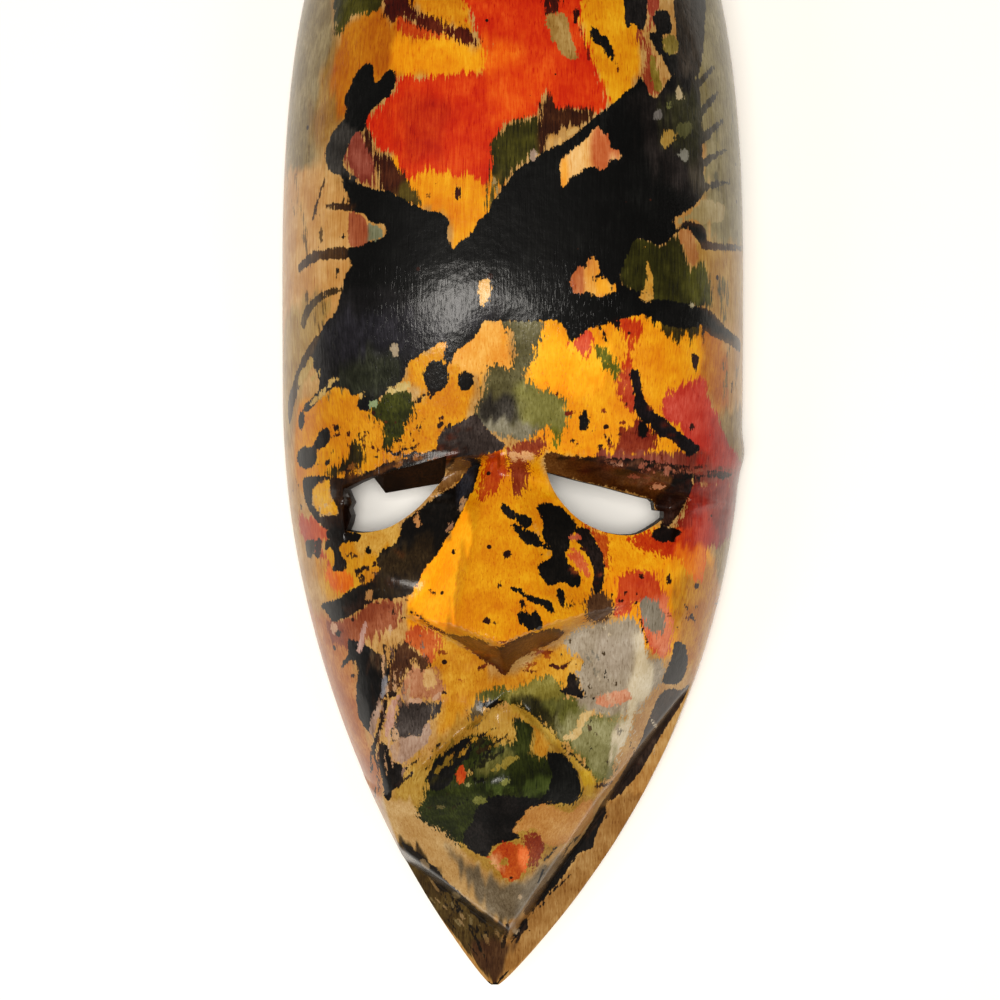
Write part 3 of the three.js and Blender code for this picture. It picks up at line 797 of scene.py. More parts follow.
shades_of_red_and_painted_highlight = [
    ("DF7618", 4.0, [(484, 36), (510, 38), (520, 62), (500, 76), (484, 66)]),
    ("D4560E", 7.0, [(490, 90), (520, 60), (560, 80), (540, 110), (500, 130)]),
    ("B83608", 6.0, [(396, 100), (440, 100), (440, 150), (404, 156)]),
    ("A83420", 5.0, [(716, 410), (745, 430), (745, 470), (700, 466), (712, 440)]),
    ("B4402C", 5.0, [(690, 520), (704, 500), (716, 540), (700, 560)]),
    ("C1562A", 3.0, [(620, 574), (664, 574), (664, 604), (620, 604)]),
    ("D7780E", 2.0, [(674, 556), (706, 552), (708, 592), (684, 592)]),
    # Painted highlight: a pale cream patch on the right cheek.
    ("D88A68", 3.0, [(650, 604), (672, 600), (672, 650), (654, 652)]),
]
for colour, soft, outline in shades_of_red_and_painted_highlight:
    red.tint(colour, soft, inside_outline(outline))

# Green dye, with the brown and grey that it makes where it ran into the other colours, and painted
# highlights on the muzzle and the mouth.
green = Coat("46420F", 1.2)
green_on_the_forehead = [
    ("4E4A12", [(338, -60), (385, -60), (384, -4), (379, 7), (368, 13), (356, 16), (347, 23), (341, 34),
        (335, 32), (334, 10)]),
    ("46420F", [(492, 148), (498, 136), (510, 123), (533, 117), (541, 128), (540, 150), (530, 160),
        (518, 168), (508, 180), (499, 192), (490, 212), (486, 204), (490, 184), (494, 165)]),
    ("4A2810", [(538, 130), (541, 106), (546, 93), (552, 104), (557, 111), (566, 107), (580, 108),
        (594, 112), (586, 125), (570, 127), (560, 130), (550, 138), (540, 152)]),
    ("5A200C", [(382, -60), (408, -60), (411, 4), (430, 17), (448, 26), (466, 30), (479, 41), (476, 48),
        (460, 42), (446, 34), (428, 30), (408, 21), (398, 15), (394, 22), (388, 20), (382, 4)]),
    ("541C0C", [(546, -60), (562, -60), (560, 8), (553, 16), (547, 10)]),
    ("4C2410", [(362, 128), (370, 134), (376, 152), (389, 153), (397, 163), (404, 178), (414, 192),
        (422, 206), (400, 202), (384, 192), (377, 182), (374, 158), (366, 144)]),
    ("3E3C12", [(622, 236), (645, 236), (660, 244), (676, 232), (684, 246), (692, 268), (700, 262),
        (711, 282), (710, 306), (690, 310), (660, 306), (636, 300), (622, 290)]),
]
green_on_the_brows = [
    ("4A3E12", [(650, 314), (700, 322), (702, 336), (697, 334), (692, 346), (685, 334), (677, 344),
        (672, 332), (666, 334), (658, 324)]),
    ("6C6646", [(504, 318), (538, 318), (541, 332), (535, 346), (533, 362), (526, 371), (529, 382),
        (545, 390), (562, 398), (566, 412), (560, 430), (545, 430), (532, 438), (510, 439), (490, 432),
        (476, 424), (474, 408), (480, 396), (484, 380), (486, 367), (497, 364), (511, 370), (513, 350),
        (508, 332)]),
    ("7A7820", [(547, 398), (562, 400), (567, 414), (562, 430), (558, 448), (553, 446), (550, 430),
        (545, 415)]),
    ("6C6C24", [(597, 347), (605, 351), (612, 358), (619, 369), (615, 376), (608, 371), (602, 362)]),
    ("3C3E10", [(368, 404), (378, 402), (386, 390), (398, 385), (409, 391), (416, 405), (413, 416),
        (405, 423), (402, 433), (394, 442), (387, 450), (384, 438), (381, 424), (373, 422), (369, 412)]),
    ("3C320F", [(350, 446), (357, 440), (363, 450), (365, 460), (358, 467), (347, 473), (334, 479),
        (328, 476), (330, 468), (342, 463), (350, 455)]),
]
green_and_grey_on_the_muzzle = [
    ("6E6C36", [(479, 700), (484, 690), (500, 685), (512, 691), (528, 684), (545, 678), (553, 679),
        (560, 686), (566, 694), (578, 700), (588, 712), (604, 714), (618, 722), (634, 714), (630, 735),
        (619, 755), (613, 774), (600, 780), (588, 768), (575, 752), (560, 738), (545, 722), (530, 712),
        (512, 704), (495, 706)]),
    ("A29684", [(564, 640), (580, 628), (600, 622), (630, 617), (640, 626), (650, 655), (662, 660),
        (664, 680), (650, 696), (641, 712), (630, 716), (612, 718), (596, 714), (585, 712), (577, 700),
        (583, 695), (580, 680), (574, 668), (582, 660), (570, 652)]),
    ("968E80", [(638, 604), (646, 599), (656, 601), (663, 614), (664, 628), (656, 634), (646, 626)]),
    ("4A423E", [(398, 700), (420, 701), (441, 702), (439, 712), (431, 722), (425, 736), (412, 740),
        (398, 743), (389, 739), (392, 722), (396, 710)]),
    ("343A12", [(428, 768), (442, 756), (452, 746), (465, 738), (485, 737), (511, 742), (514, 718),
        (530, 722), (535, 730), (533, 749), (540, 757), (552, 751), (565, 760), (577, 775), (581, 792),
        (570, 804), (545, 802), (528, 810), (500, 824), (480, 845), (462, 846), (440, 829), (417, 814),
        (424, 798), (427, 780)]),
    ("6A4E36", [(588, 594), (600, 590), (612, 600), (614, 614), (604, 622), (590, 622), (584, 608)]),
    ("5A3A22", [(397, 640), (410, 643), (421, 652), (430, 667), (421, 669), (414, 662), (404, 678),
        (393, 696), (384, 691), (388, 668), (392, 652)]),
    ("6E6048", [(470, 712), (478, 700), (482, 716), (474, 726)]),
]
for colour, outline in (green_on_the_forehead + green_on_the_brows + green_and_grey_on_the_muzzle):
    green.lay(colour, inside_outline(outline))
shades_of_green_and_painted_highlights = [
    ("7A6A2E", 1.5, [(486, 176), (500, 176), (498, 200), (488, 216), (484, 200)]),
    ("5C4E1C", 2.0, [(404, 184), (420, 190), (424, 208), (400, 204)]),
    ("585620", 2.5, [(686, 262), (710, 270), (710, 306), (690, 304)]),
    ("8C8852", 3.0, [(520, 384), (560, 396), (566, 426), (528, 430), (516, 404)]),
    ("48433C", 3.0, [(482, 396), (512, 396), (516, 424), (486, 428), (476, 412)]),
    ("8A8470", 2.0, [(486, 424), (536, 426), (530, 440), (494, 440)]),
    ("8A8040", 2.0, [(510, 690), (552, 682), (562, 696), (520, 702)]),
    ("3E3A14", 2.0, [(514, 700), (540, 704), (560, 728), (548, 728), (528, 714)]),
    ("8E8A62", 3.0, [(566, 714), (600, 716), (630, 724), (612, 770), (590, 760), (570, 740)]),
    # Painted highlight: a pale streak along the ridge of the right muzzle.
    ("CEC2AA", 2.0, [(632, 640), (652, 640), (652, 690), (640, 716), (622, 760), (610, 758), (624, 720)]),
    # Painted highlight: a lighter green band along the ridge across the mouth.
    ("566030", 1.5, [(494, 782), (560, 780), (568, 792), (500, 794)]),
    ("6A6634", 2.0, [(478, 768), (500, 752), (516, 754), (500, 766), (486, 776)]),
    # Grey, lightened here as a painted sheen on the right muzzle.
    ("A89C8C", 4.0, [(600, 636), (634, 640), (632, 670), (606, 672)]),
]
for colour, soft, outline in shades_of_green_and_painted_highlights:
    green.tint(colour, soft, inside_outline(outline))

# Brown and black dye: the last coat, thick and glossy. One great splash spreads its arms over
# the forehead, a band runs down the left of the nose, and drops and drips lie all over. Some dark
# marks are painted shadow: under the nose and along its lower edge, under the left brow, beside
# the mouth's upper right edge and under the step of the chin. Some grey tints are painted sheen
# and reflection on the black.
black = Coat("0E0D0C", 0.35)
brown_drips_on_the_sides = [
    ("4B3218", [(312, 252), (326, 249), (346, 248), (350, 259), (330, 259), (314, 262), (300, 272),
        (298, 266)]),
    ("54401E", [(352, 286), (330, 296), (312, 310), (304, 330), (300, 322), (308, 304), (326, 290)]),
    ("4E3818", [(318, 334), (322, 344), (308, 366), (298, 392), (290, 424), (288, 404), (296, 374),
        (306, 350)]),
    ("4B3420", [(682, 221), (697, 223), (707, 232), (716, 243), (745, 247), (745, 251), (714, 250),
        (702, 245), (694, 236)]),
    ("5A3E1C", [(700, 306), (714, 314), (728, 330), (740, 340), (740, 352), (724, 342), (704, 330)]),
    ("3E3A36", [(350, 116), (364, 126), (354, 134), (347, 150), (343, 165), (360, 182), (340, 176),
        (327, 167), (326, 150), (332, 135), (340, 124)]),
]
great_black_splash = [
    ("0C0C0B", [(369, 64), (374, 68), (374, 79), (378, 81), (384, 74), (391, 69), (396, 76), (395, 86),
        (390, 95), (379, 104), (370, 112), (366, 120), (364, 131), (352, 129), (345, 121), (346, 108),
        (344, 98), (350, 86), (354, 76), (361, 68)]),
    ("0C0C0B", [(343, 172), (352, 181), (376, 189), (392, 193), (408, 202), (428, 210), (440, 212),
        (449, 219), (448, 234), (452, 249), (458, 243), (470, 234), (484, 218), (500, 250), (490, 300),
        (430, 300), (348, 300), (342, 288), (345, 275), (352, 264), (346, 256), (348, 248), (360, 244),
        (374, 240), (384, 236), (384, 226), (371, 223), (363, 213), (352, 213), (349, 196), (343, 186)]),
    ("0C0C0B", [(480, 222), (488, 211), (492, 202), (500, 191), (508, 180), (518, 168), (530, 161),
        (542, 153), (556, 145), (570, 138), (586, 124), (600, 113), (612, 104), (622, 96), (634, 85),
        (642, 77), (646, 88), (655, 98), (662, 90), (668, 79), (680, 71), (692, 74), (700, 90), (702, 120),
        (703, 165), (705, 188), (698, 202), (684, 213), (674, 219), (678, 227), (690, 224), (706, 234),
        (700, 242), (686, 230), (674, 236), (662, 246), (648, 241), (634, 240), (626, 256), (620, 282),
        (640, 292), (640, 312), (600, 316), (550, 320), (500, 320), (480, 300), (470, 260)]),
    ("0C0C0B", [(620, 296), (640, 302), (660, 300), (690, 304), (706, 310), (718, 322), (736, 338),
        (722, 337), (704, 326), (688, 329), (670, 326), (656, 321), (643, 314), (630, 317), (612, 322),
        (598, 327), (588, 329), (577, 338), (571, 342), (567, 337), (565, 327), (556, 318), (580, 300)]),
    ("211F20", [(348, 290), (430, 290), (500, 290), (500, 319), (486, 321), (478, 332), (469, 342),
        (456, 352), (450, 364), (444, 357), (447, 345), (440, 341), (428, 350), (416, 357), (408, 366),
        (403, 380), (390, 389), (378, 399), (371, 409), (361, 411), (357, 403), (361, 394), (352, 396),
        (346, 388), (334, 388), (320, 399), (308, 411), (303, 408), (314, 396), (320, 384), (315, 370),
        (312, 356), (318, 340), (325, 324), (336, 311)]),
]
black_at_the_upper_right = [
    ("221E1C", [(622, -60), (646, -60), (647, 16), (641, 30), (633, 23), (625, 22)]),
    ("1E1A18", [(655, 12), (668, 11), (672, 24), (671, 33), (660, 33), (654, 22)]),
    ("1E1A18", [(650, 32), (661, 33), (664, 48), (660, 56), (655, 46), (650, 39)]),
    ("1E1C1A", [(664, 50), (678, 55), (680, 68), (672, 76), (666, 65)]),
    ("3C342C", [(672, -60), (700, -60), (702, 60), (690, 78), (680, 70), (676, 30)]),
    ("1A1512", [(591, 26), (597, 28), (602, 35), (607, 36), (611, 42), (614, 52), (614, 63), (609, 60),
        (603, 50), (599, 44), (594, 43), (591, 36)]),
]
black_on_the_brows = [
    ("241B1E", [(630, 371), (638, 370), (641, 382), (642, 395), (647, 403), (651, 410), (659, 415),
        (666, 420), (674, 426), (682, 434), (690, 440), (700, 448), (690, 456), (679, 448), (671, 440),
        (661, 437), (655, 430), (647, 422), (639, 416), (635, 408), (635, 395), (632, 382)]),
    ("2C1610", [(691, 352), (700, 358), (697, 367), (695, 377), (693, 367)]),
    ("463C38", [(440, 434), (458, 424), (474, 414), (486, 428), (500, 440), (506, 446), (490, 454),
        (480, 458), (470, 462), (456, 460), (446, 468), (438, 452)]),
    ("1A1613", [(313, 446), (317, 438), (320, 431), (328, 428), (331, 434), (329, 443), (323, 447),
        (317, 449)]),
    ("1A1613", [(298, 452), (302, 447), (311, 446), (316, 450), (317, 459), (313, 466), (306, 470),
        (300, 466), (297, 459)]),
]
black_and_painted_shadow_round_the_left_eye = [
    ("3A2412", [(336, 480), (350, 476), (370, 471), (388, 462), (420, 455), (448, 448), (456, 456),
        (440, 464), (412, 470), (386, 477), (366, 483), (347, 492), (338, 490)]),
    # Painted shadow: black under the left brow, at the top of the eye hole.
    ("19120E", [(384, 476), (398, 466), (424, 458), (452, 452), (455, 462), (448, 466), (420, 471)]),
    ("1C120C", [(303, 478), (316, 476), (332, 477), (332, 481), (320, 482), (314, 490), (312, 501),
        (317, 512), (328, 524), (324, 528), (312, 514), (305, 500)]),
    ("2E1C10", [(330, 478), (344, 480), (351, 496), (352, 520), (346, 531), (332, 531), (320, 524),
        (322, 516), (337, 515), (336, 505), (331, 495)]),
    ("1C140F", [(327, 531), (336, 527), (348, 531), (360, 534), (357, 541), (346, 543), (339, 546),
        (341, 553), (346, 561), (346, 567), (340, 571), (332, 571), (334, 562), (334, 552), (330, 548),
        (325, 551), (325, 543), (328, 540)]),
    ("3C3014", [(306, 541), (314, 541), (313, 556), (307, 556)]),
    ("3C1A0E", [(317, 540), (322, 541), (320, 557), (316, 556)]),
]
black_on_the_nose = [
    ("1E1915", [(470, 462), (481, 459), (478, 474), (473, 490), (466, 503), (457, 522), (447, 538),
        (440, 551), (433, 560), (424, 570), (419, 580), (412, 592), (403, 598), (380, 599), (368, 604),
        (356, 613), (346, 618), (333, 622), (327, 613), (321, 605), (335, 600), (346, 593), (357, 586),
        (366, 585), (376, 576), (380, 567), (376, 560), (385, 549), (396, 543), (400, 532), (404, 521),
        (418, 510), (430, 501), (445, 491), (458, 483)]),
    ("1A1512", [(500, 503), (505, 503), (510, 509), (516, 514), (525, 515), (532, 518), (533, 524),
        (527, 528), (520, 525), (516, 519), (509, 517), (503, 511)]),
    ("1A1512", [(510, 525), (518, 526), (524, 530), (531, 530), (538, 534), (541, 541), (547, 545),
        (552, 549), (546, 550), (536, 547), (529, 546), (522, 540), (516, 531)]),
    ("17130F", [(536, 507), (543, 504), (552, 503), (560, 507), (567, 513), (574, 520), (577, 527),
        (574, 534), (570, 539), (570, 546), (565, 553), (568, 563), (574, 571), (582, 578), (580, 586),
        (573, 587), (565, 583), (558, 583), (551, 586), (544, 582), (539, 573), (538, 566), (544, 561),
        (551, 557), (551, 549), (546, 543), (541, 535), (542, 525), (540, 515)]),
    ("1E1512", [(577, 528), (590, 531), (597, 545), (603, 556), (605, 575), (602, 590), (596, 594),
        (593, 583), (593, 570), (589, 558), (583, 548), (576, 541)]),
    ("17130F", [(508, 587), (520, 589), (530, 595), (540, 599), (549, 601), (554, 608), (554, 613),
        (548, 611), (544, 606), (534, 603), (524, 597), (512, 590)]),
    ("17130F", [(518, 613), (526, 612), (530, 615), (535, 611), (541, 618), (543, 625), (540, 630),
        (530, 629), (522, 626), (519, 620)]),
    ("17130F", [(556, 590), (564, 590), (566, 600), (568, 608), (562, 606), (558, 598)]),
]
black_round_the_right_eye = [
    ("5E3A18", [(545, 452), (565, 455), (590, 457), (620, 459), (650, 462), (694, 472), (692, 480),
        (672, 505), (663, 522), (655, 508), (648, 498), (610, 488), (575, 480), (548, 474)]),
    ("170F0B", [(620, 459), (650, 462), (694, 474), (690, 482), (674, 492), (664, 490), (672, 478),
        (650, 470), (628, 466)]),
    ("2E1810", [(655, 500), (662, 492), (692, 480), (684, 506), (668, 526), (662, 522)]),
    ("1E1210", [(650, 534), (656, 530), (662, 526), (670, 527), (676, 530), (682, 532), (676, 537),
        (673, 542), (662, 542), (656, 539)]),
]
painted_shadow_and_black_under_the_nose = [
    # Painted shadow: dark brown in the undercut under the nose.
    ("6A3C14", [(440, 632), (465, 637), (482, 641), (500, 648), (518, 638), (540, 632), (564, 631),
        (556, 641), (540, 648), (524, 656), (514, 664), (509, 672), (502, 675), (494, 667), (482, 660),
        (470, 650), (455, 640)]),
    ("1C140F", [(567, 676), (573, 673), (577, 682), (580, 692), (584, 698), (575, 696), (565, 694),
        (559, 690), (567, 687)]),
    ("15110F", [(479, 704), (490, 700), (506, 700), (500, 704), (490, 709), (482, 707)]),
]
black_on_the_jaw = [
    ("231C1A", [(675, 642), (685, 645), (688, 660), (684, 676), (678, 684), (666, 685), (662, 680),
        (668, 666), (672, 655)]),
    ("3A2A20", [(664, 690), (680, 690), (690, 684), (680, 706), (668, 724), (656, 744), (644, 766),
        (628, 786), (612, 800), (606, 798), (618, 780), (630, 760), (640, 742), (650, 716)]),
    ("1A1818", [(348, 640), (362, 642), (376, 652), (388, 664), (388, 690), (381, 704), (377, 718),
        (371, 732), (364, 727), (358, 714), (356, 690), (358, 668), (352, 660), (345, 666), (341, 671),
        (342, 662), (348, 654)]),
    ("1C1816", [(379, 744), (388, 746), (391, 760), (401, 764), (404, 776), (400, 786), (393, 790),
        (390, 801), (385, 798), (382, 780), (379, 765)]),
]
black_on_the_mouth = [
    ("1A1816", [(430, 768), (440, 758), (450, 748), (462, 740), (472, 740), (470, 756), (458, 766),
        (452, 782), (440, 790), (430, 788), (427, 776)]),
    ("1C1C1A", [(546, 754), (562, 753), (574, 766), (580, 778), (579, 796), (570, 804), (555, 801),
        (540, 800), (548, 790), (552, 772)]),
    ("1A1614", [(478, 806), (490, 797), (510, 795), (530, 798), (548, 800), (556, 804), (535, 808),
        (526, 815), (521, 822), (514, 830), (520, 838), (506, 842), (494, 846), (488, 856), (472, 852),
        (462, 838), (472, 822)]),
]
black_and_painted_shadow_on_the_chin = [
    ("1A1512", [(606, 797), (606, 810), (601, 822), (596, 834), (592, 848), (584, 851), (576, 856),
        (570, 866), (562, 878), (552, 890), (544, 900), (534, 908), (528, 915), (523, 912), (536, 894),
        (552, 876), (566, 856), (578, 843), (588, 828), (596, 814)]),
    ("1C140F", [(523, 920), (529, 921), (527, 929), (518, 936), (511, 938), (518, 929)]),
    # Painted shadow: a dark line under the step at the outer edge of the left bevel.
    ("2A2012", [(402, 843), (412, 848), (424, 858), (436, 868), (446, 880), (460, 893), (470, 902),
        (486, 918), (482, 924), (466, 908), (452, 896), (440, 890), (428, 876), (414, 862)]),
]
for colour, outline in (brown_drips_on_the_sides + great_black_splash + black_at_the_upper_right
                        + black_on_the_brows + black_and_painted_shadow_round_the_left_eye + black_on_the_nose
                        + black_round_the_right_eye + painted_shadow_and_black_under_the_nose + black_on_the_jaw
                        + black_on_the_mouth + black_and_painted_shadow_on_the_chin):
    black.lay(colour, inside_outline(outline))
feathered_edge_strokes = [
    ("17150F", [(690, 92, 10), (702, 80, 7), (714, 66, 3)]),
    ("17150F", [(696, 118, 10), (708, 104, 7), (718, 92, 3)]),
    ("1B1912", [(698, 142, 10), (712, 130, 7), (723, 120, 3)]),
    ("1E1C14", [(700, 166, 9), (714, 156, 6), (726, 150, 3)]),
    ("24211A", [(702, 188, 8), (716, 184, 6), (730, 182, 3)]),
    ("1A1812", [(684, 108, 6), (692, 92, 4), (698, 78, 3)]),
]
drips_cut_lines_and_painted_shadow_lines = [
    ("6A3A12", [(384, 690, 2), (381, 720, 2), (378, 756, 2), (380, 790, 2)]),
    ("2E1A0C", [(638, 605, 1.5), (641, 620, 2), (646, 640, 2), (649, 655, 1.5)]),
    ("120B08", [(560, 458, 3), (600, 459, 3), (640, 461, 3), (690, 468, 3)]),
    ("7A4A2C", [(572, 466, 1.5), (604, 470, 2), (640, 477, 1.5)]),
    ("7A3A22", [(610, 476, 1.5), (636, 482, 2), (664, 484, 1.5)]),
    ("5A3E1A", [(325, 179, 2), (320, 194, 3), (315, 210, 3), (312, 223, 2)]),
    ("4C3218", [(328, 207, 5), (335, 206, 7), (348, 207, 6), (354, 208, 4)]),
    ("6A2410", [(615, 62, 2), (620, 73, 2)]),
    ("8C2C10", [(579, 22, 2), (584, 40, 2), (590, 60, 2)]),
    ("2C1610", [(600, 327, 3), (604, 336, 3), (608, 344, 2)]),
    ("2C1610", [(613, 320, 3), (618, 327, 5), (622, 334, 2)]),
    ("3A1C10", [(703, 330, 2), (704, 344, 3)]),
    ("2C1A10", [(416, 404, 3), (424, 396, 3), (432, 390, 4)]),
    ("2C1A10", [(434, 388, 6), (431, 398, 3)]),
    ("2C1A10", [(330, 445, 2), (334, 453, 2), (340, 460, 2)]),
    ("2C1A10", [(388, 450, 3), (396, 454, 3), (424, 454, 2), (446, 446, 3)]),
    ("5A2410", [(352, 428, 1), (346, 436, 1)]),
    ("5A2410", [(424, 418, 1), (418, 428, 2), (420, 436, 1)]),
    ("5A2410", [(408, 428, 1), (412, 440, 2), (418, 444, 1)]),
    ("2A1810", [(357, 572, 4), (364, 568, 3), (373, 566, 2), (378, 562, 2)]),
    ("2A1810", [(357, 571, 3), (357, 577, 2)]),
    # Painted shadow: dark lines along the lower edge of the nose.
    ("421810", [(411, 612, 2), (420, 617, 2), (430, 626, 3), (440, 631, 3), (452, 636, 3), (464, 637, 2)]),
    ("4A200E", [(464, 636, 2), (480, 640, 3), (492, 646, 3), (500, 649, 2)]),
    ("4A200E", [(500, 649, 2), (516, 639, 2), (536, 633, 2), (552, 630, 4), (563, 632, 3)]),
    ("4A1E10", [(551, 665, 2), (560, 668, 3), (568, 664, 3), (572, 660, 2)]),
    ("3A1C12", [(685, 605, 3), (688, 611, 2)]),
    ("3A1C12", [(691, 615, 3), (696, 622, 3)]),
    ("4A1E12", [(606, 436, 2), (611, 443, 2)]),
    ("2E2018", [(386, 702, 5), (382, 720, 5), (377, 738, 5), (373, 752, 4), (378, 765, 3)]),
    ("2E2018", [(399, 785, 3), (407, 778, 3), (414, 772, 2)]),
    ("5A4020", [(590, 786, 3), (604, 785, 3), (612, 782, 2)]),
    ("3A2A18", [(545, 860, 2), (552, 852, 2), (557, 846, 2)]),
    ("3E2C16", [(508, 926, 5), (506, 936, 4), (503, 946, 4)]),
    ("2A2010", [(476, 978, 5), (486, 984, 6), (500, 980, 6), (508, 972, 3)]),
    ("35280F", [(470, 742, 3), (482, 736, 2), (494, 728, 2)]),
    ("35280F", [(478, 752, 4), (494, 744, 3), (506, 736, 2)]),
    ("2C2A10", [(480, 766, 4), (492, 758, 3), (504, 750, 3)]),
    # Painted shadow: dark lines beside the upper right edge of the mouth, where it stands above the cheek.
    ("3A3414", [(540, 722, 3), (556, 740, 3), (572, 756, 4), (588, 770, 4)]),
    ("3A3414", [(520, 706, 3), (532, 714, 4), (542, 722, 3)]),
    ("2A2018", [(440, 744, 3), (430, 752, 2), (412, 764, 2), (404, 770, 2)]),
]
for colour, places in (feathered_edge_strokes + drips_cut_lines_and_painted_shadow_lines):
    black.lay(colour, inside_stroke(places))
drops_of_black = [
    ("3A0E06", [(576, 15, 3, 6), (458, 194, 3.5, 6), (428, 196, 2.5, 3), (434, 185, 2, 1)]),
    ("5A4018", [(321, 235, 4, 10), (319, 214, 1.5, 2), (732, 387, 3, 8)]),
    ("17130F", [(436, 376, 13, 15), (466, 381, 8, 10), (337, 428, 4, 3.5), (358, 435, 3, 2),
        (361, 440, 2, 3), (301, 421, 6, 8), (337, 273, 2, 4), (368, 550, 3.5, 4), (585, 421, 5, 10),
        (643, 430, 5, 8), (443, 362, 2, 3), (600, 300, 2, 2)]),
    ("381810", [(507, 555, 4, 4), (454, 552, 2, 2), (500, 586, 2, 4), (523, 604, 3, 4), (487, 621, 4, 4),
        (494, 623, 3, 1), (573, 603, 2, 4), (541, 554, 2, 2), (692, 427, 3, 3), (668, 580, 3, 5),
        (697, 586, 3, 3), (625, 593, 2, 2), (697, 606, 1.5, 2), (353, 676, 3, 3), (443, 693, 3, 2),
        (420, 430, 1, 2), (612, 595, 2, 2), (636, 603, 3, 2), (573, 441, 3, 2), (600, 446, 2, 2)]),
    ("2A1A12", [(344, 197, 2, 3), (343, 236, 3, 2), (352, 235, 4, 3), (361, 238, 2, 2), (338, 633, 6, 4),
        (392, 694, 6, 4), (318, 463, 2, 1.5), (328, 463, 3, 2), (314, 452, 2, 2), (404, 448, 3, 2),
        (412, 448, 3, 2), (420, 425, 1.5, 2)]),
]
for colour, places in drops_of_black:
    black.lay(colour, inside_drops(places))
shades_of_black_and_painted_sheen = [
    # Painted sheen: a blue-grey veil of the varnish on the black over the left brow.
    ("2C2A30", 6.0, [(322, 320), (400, 310), (470, 308), (486, 318), (440, 340), (396, 360), (340, 370)]),
    # Painted sheen: greenish grey on the black at the left brow.
    ("343628", 4.0, [(340, 366), (384, 352), (398, 372), (372, 398), (346, 390)]),
    ("2A2422", 6.0, [(640, 100), (704, 80), (706, 190), (660, 180)]),
    ("4C453A", 3.0, [(694, 80), (720, 70), (724, 190), (698, 190)]),
    ("3E3C26", 4.0, [(666, 96), (700, 96), (700, 150), (670, 148)]),
    ("42341F", 4.0, [(382, 556), (436, 540), (426, 580), (400, 600), (374, 600)]),
    ("3E2A20", 3.0, [(352, 600), (372, 600), (360, 616), (346, 616)]),
    ("2E2E34", 4.0, [(456, 470), (476, 466), (470, 490), (458, 500)]),
    # Painted reflection: grey-brown light on the left cheek where it turns down.
    ("8A7258", 4.0, [(374, 624), (402, 628), (396, 660), (376, 668)]),
    ("5E3E28", 3.0, [(598, 462), (640, 466), (650, 484), (604, 484)]),
    ("6A4634", 2.0, [(604, 461), (632, 462), (636, 468), (606, 466)]),
]
for colour, soft, outline in shades_of_black_and_painted_sheen:
    black.tint(colour, soft, inside_outline(outline))

# Spared wood: windows that no black reached, last drops of yellow and pink over it, and places
# where the lacquer has chipped to the bare wood. A pale line along the left cheek's edge is partly
# a scratch and partly painted highlight.
spared = Coat("D0A060", 0.8)
spared_on_the_forehead = [
    ("DEB476", [(598, 128), (606, 135), (610, 147), (617, 152), (622, 157), (611, 160), (602, 169),
        (590, 168), (580, 174), (570, 178), (564, 186), (561, 178), (562, 160), (575, 148), (586, 138),
        (592, 130)]),
    ("C8A060", [(550, 134), (555, 136), (553, 143), (550, 148), (547, 144)]),
    ("CFA868", [(556, 143), (560, 138), (563, 139), (563, 144), (558, 145)]),
    ("C8A870", [(565, 132), (569, 128), (577, 127), (578, 130), (570, 138), (566, 139)]),
    ("8C7A34", [(651, 54), (656, 66), (662, 82), (663, 88), (659, 92), (655, 88), (652, 76)]),
    ("8A7A3C", [(664, 37), (675, 36), (678, 47), (674, 55), (665, 50)]),
    ("B8A888", [(676, 88), (681, 88), (684, 98), (678, 97)]),
    ("77764E", [(668, 101), (673, 104), (672, 112), (668, 108)]),
    ("77726E", [(655, 112), (660, 111), (662, 117), (655, 119)]),
    ("AC9050", [(662, 138), (666, 130), (675, 130), (676, 140), (670, 146), (663, 146)]),
    ("6C6A48", [(676, 126), (692, 122), (690, 134), (678, 136)]),
    ("8C8A80", [(675, 152), (686, 150), (688, 158), (680, 160)]),
    ("A4844C", [(547, 17), (563, 12), (569, 26), (574, 42), (577, 58), (566, 56), (556, 46), (549, 32)]),
    ("8C8C74", [(368, 223), (380, 226), (385, 236), (374, 240), (366, 237)]),
    ("A86A4A", [(349, 214), (360, 214), (367, 226), (366, 240), (350, 246)]),
    ("A08C7C", [(530, 157), (533, 150), (538, 152), (534, 160)]),
    ("A8946C", [(492, 178), (496, 176), (500, 192), (498, 200), (494, 190)]),
    ("DDB878", [(474, 285), (478, 286), (482, 281), (487, 279), (491, 285), (491, 292), (488, 298),
        (488, 304), (483, 308), (478, 305), (479, 296)]),
    ("D8A454", [(570, 280), (574, 272), (581, 267), (587, 265), (591, 258), (597, 262), (599, 270),
        (603, 276), (610, 281), (616, 290), (608, 294), (598, 297), (588, 294), (577, 293), (572, 288)]),
    ("C49C4C", [(643, 244), (646, 252), (649, 266), (652, 278), (653, 287), (645, 290), (645, 284),
        (648, 278), (645, 262)]),
    ("C49C54", [(640, 294), (652, 293), (651, 300), (643, 300)]),
    ("B08050", [(678, 232), (690, 230), (696, 244), (698, 262), (690, 265), (685, 252)]),
    ("A89870", [(675, 220), (682, 217), (690, 214), (698, 205), (706, 199), (724, 206), (722, 222),
        (702, 222), (690, 219), (680, 224)]),
    ("B0A890", [(690, 302), (695, 302), (694, 310), (690, 308)]),
]
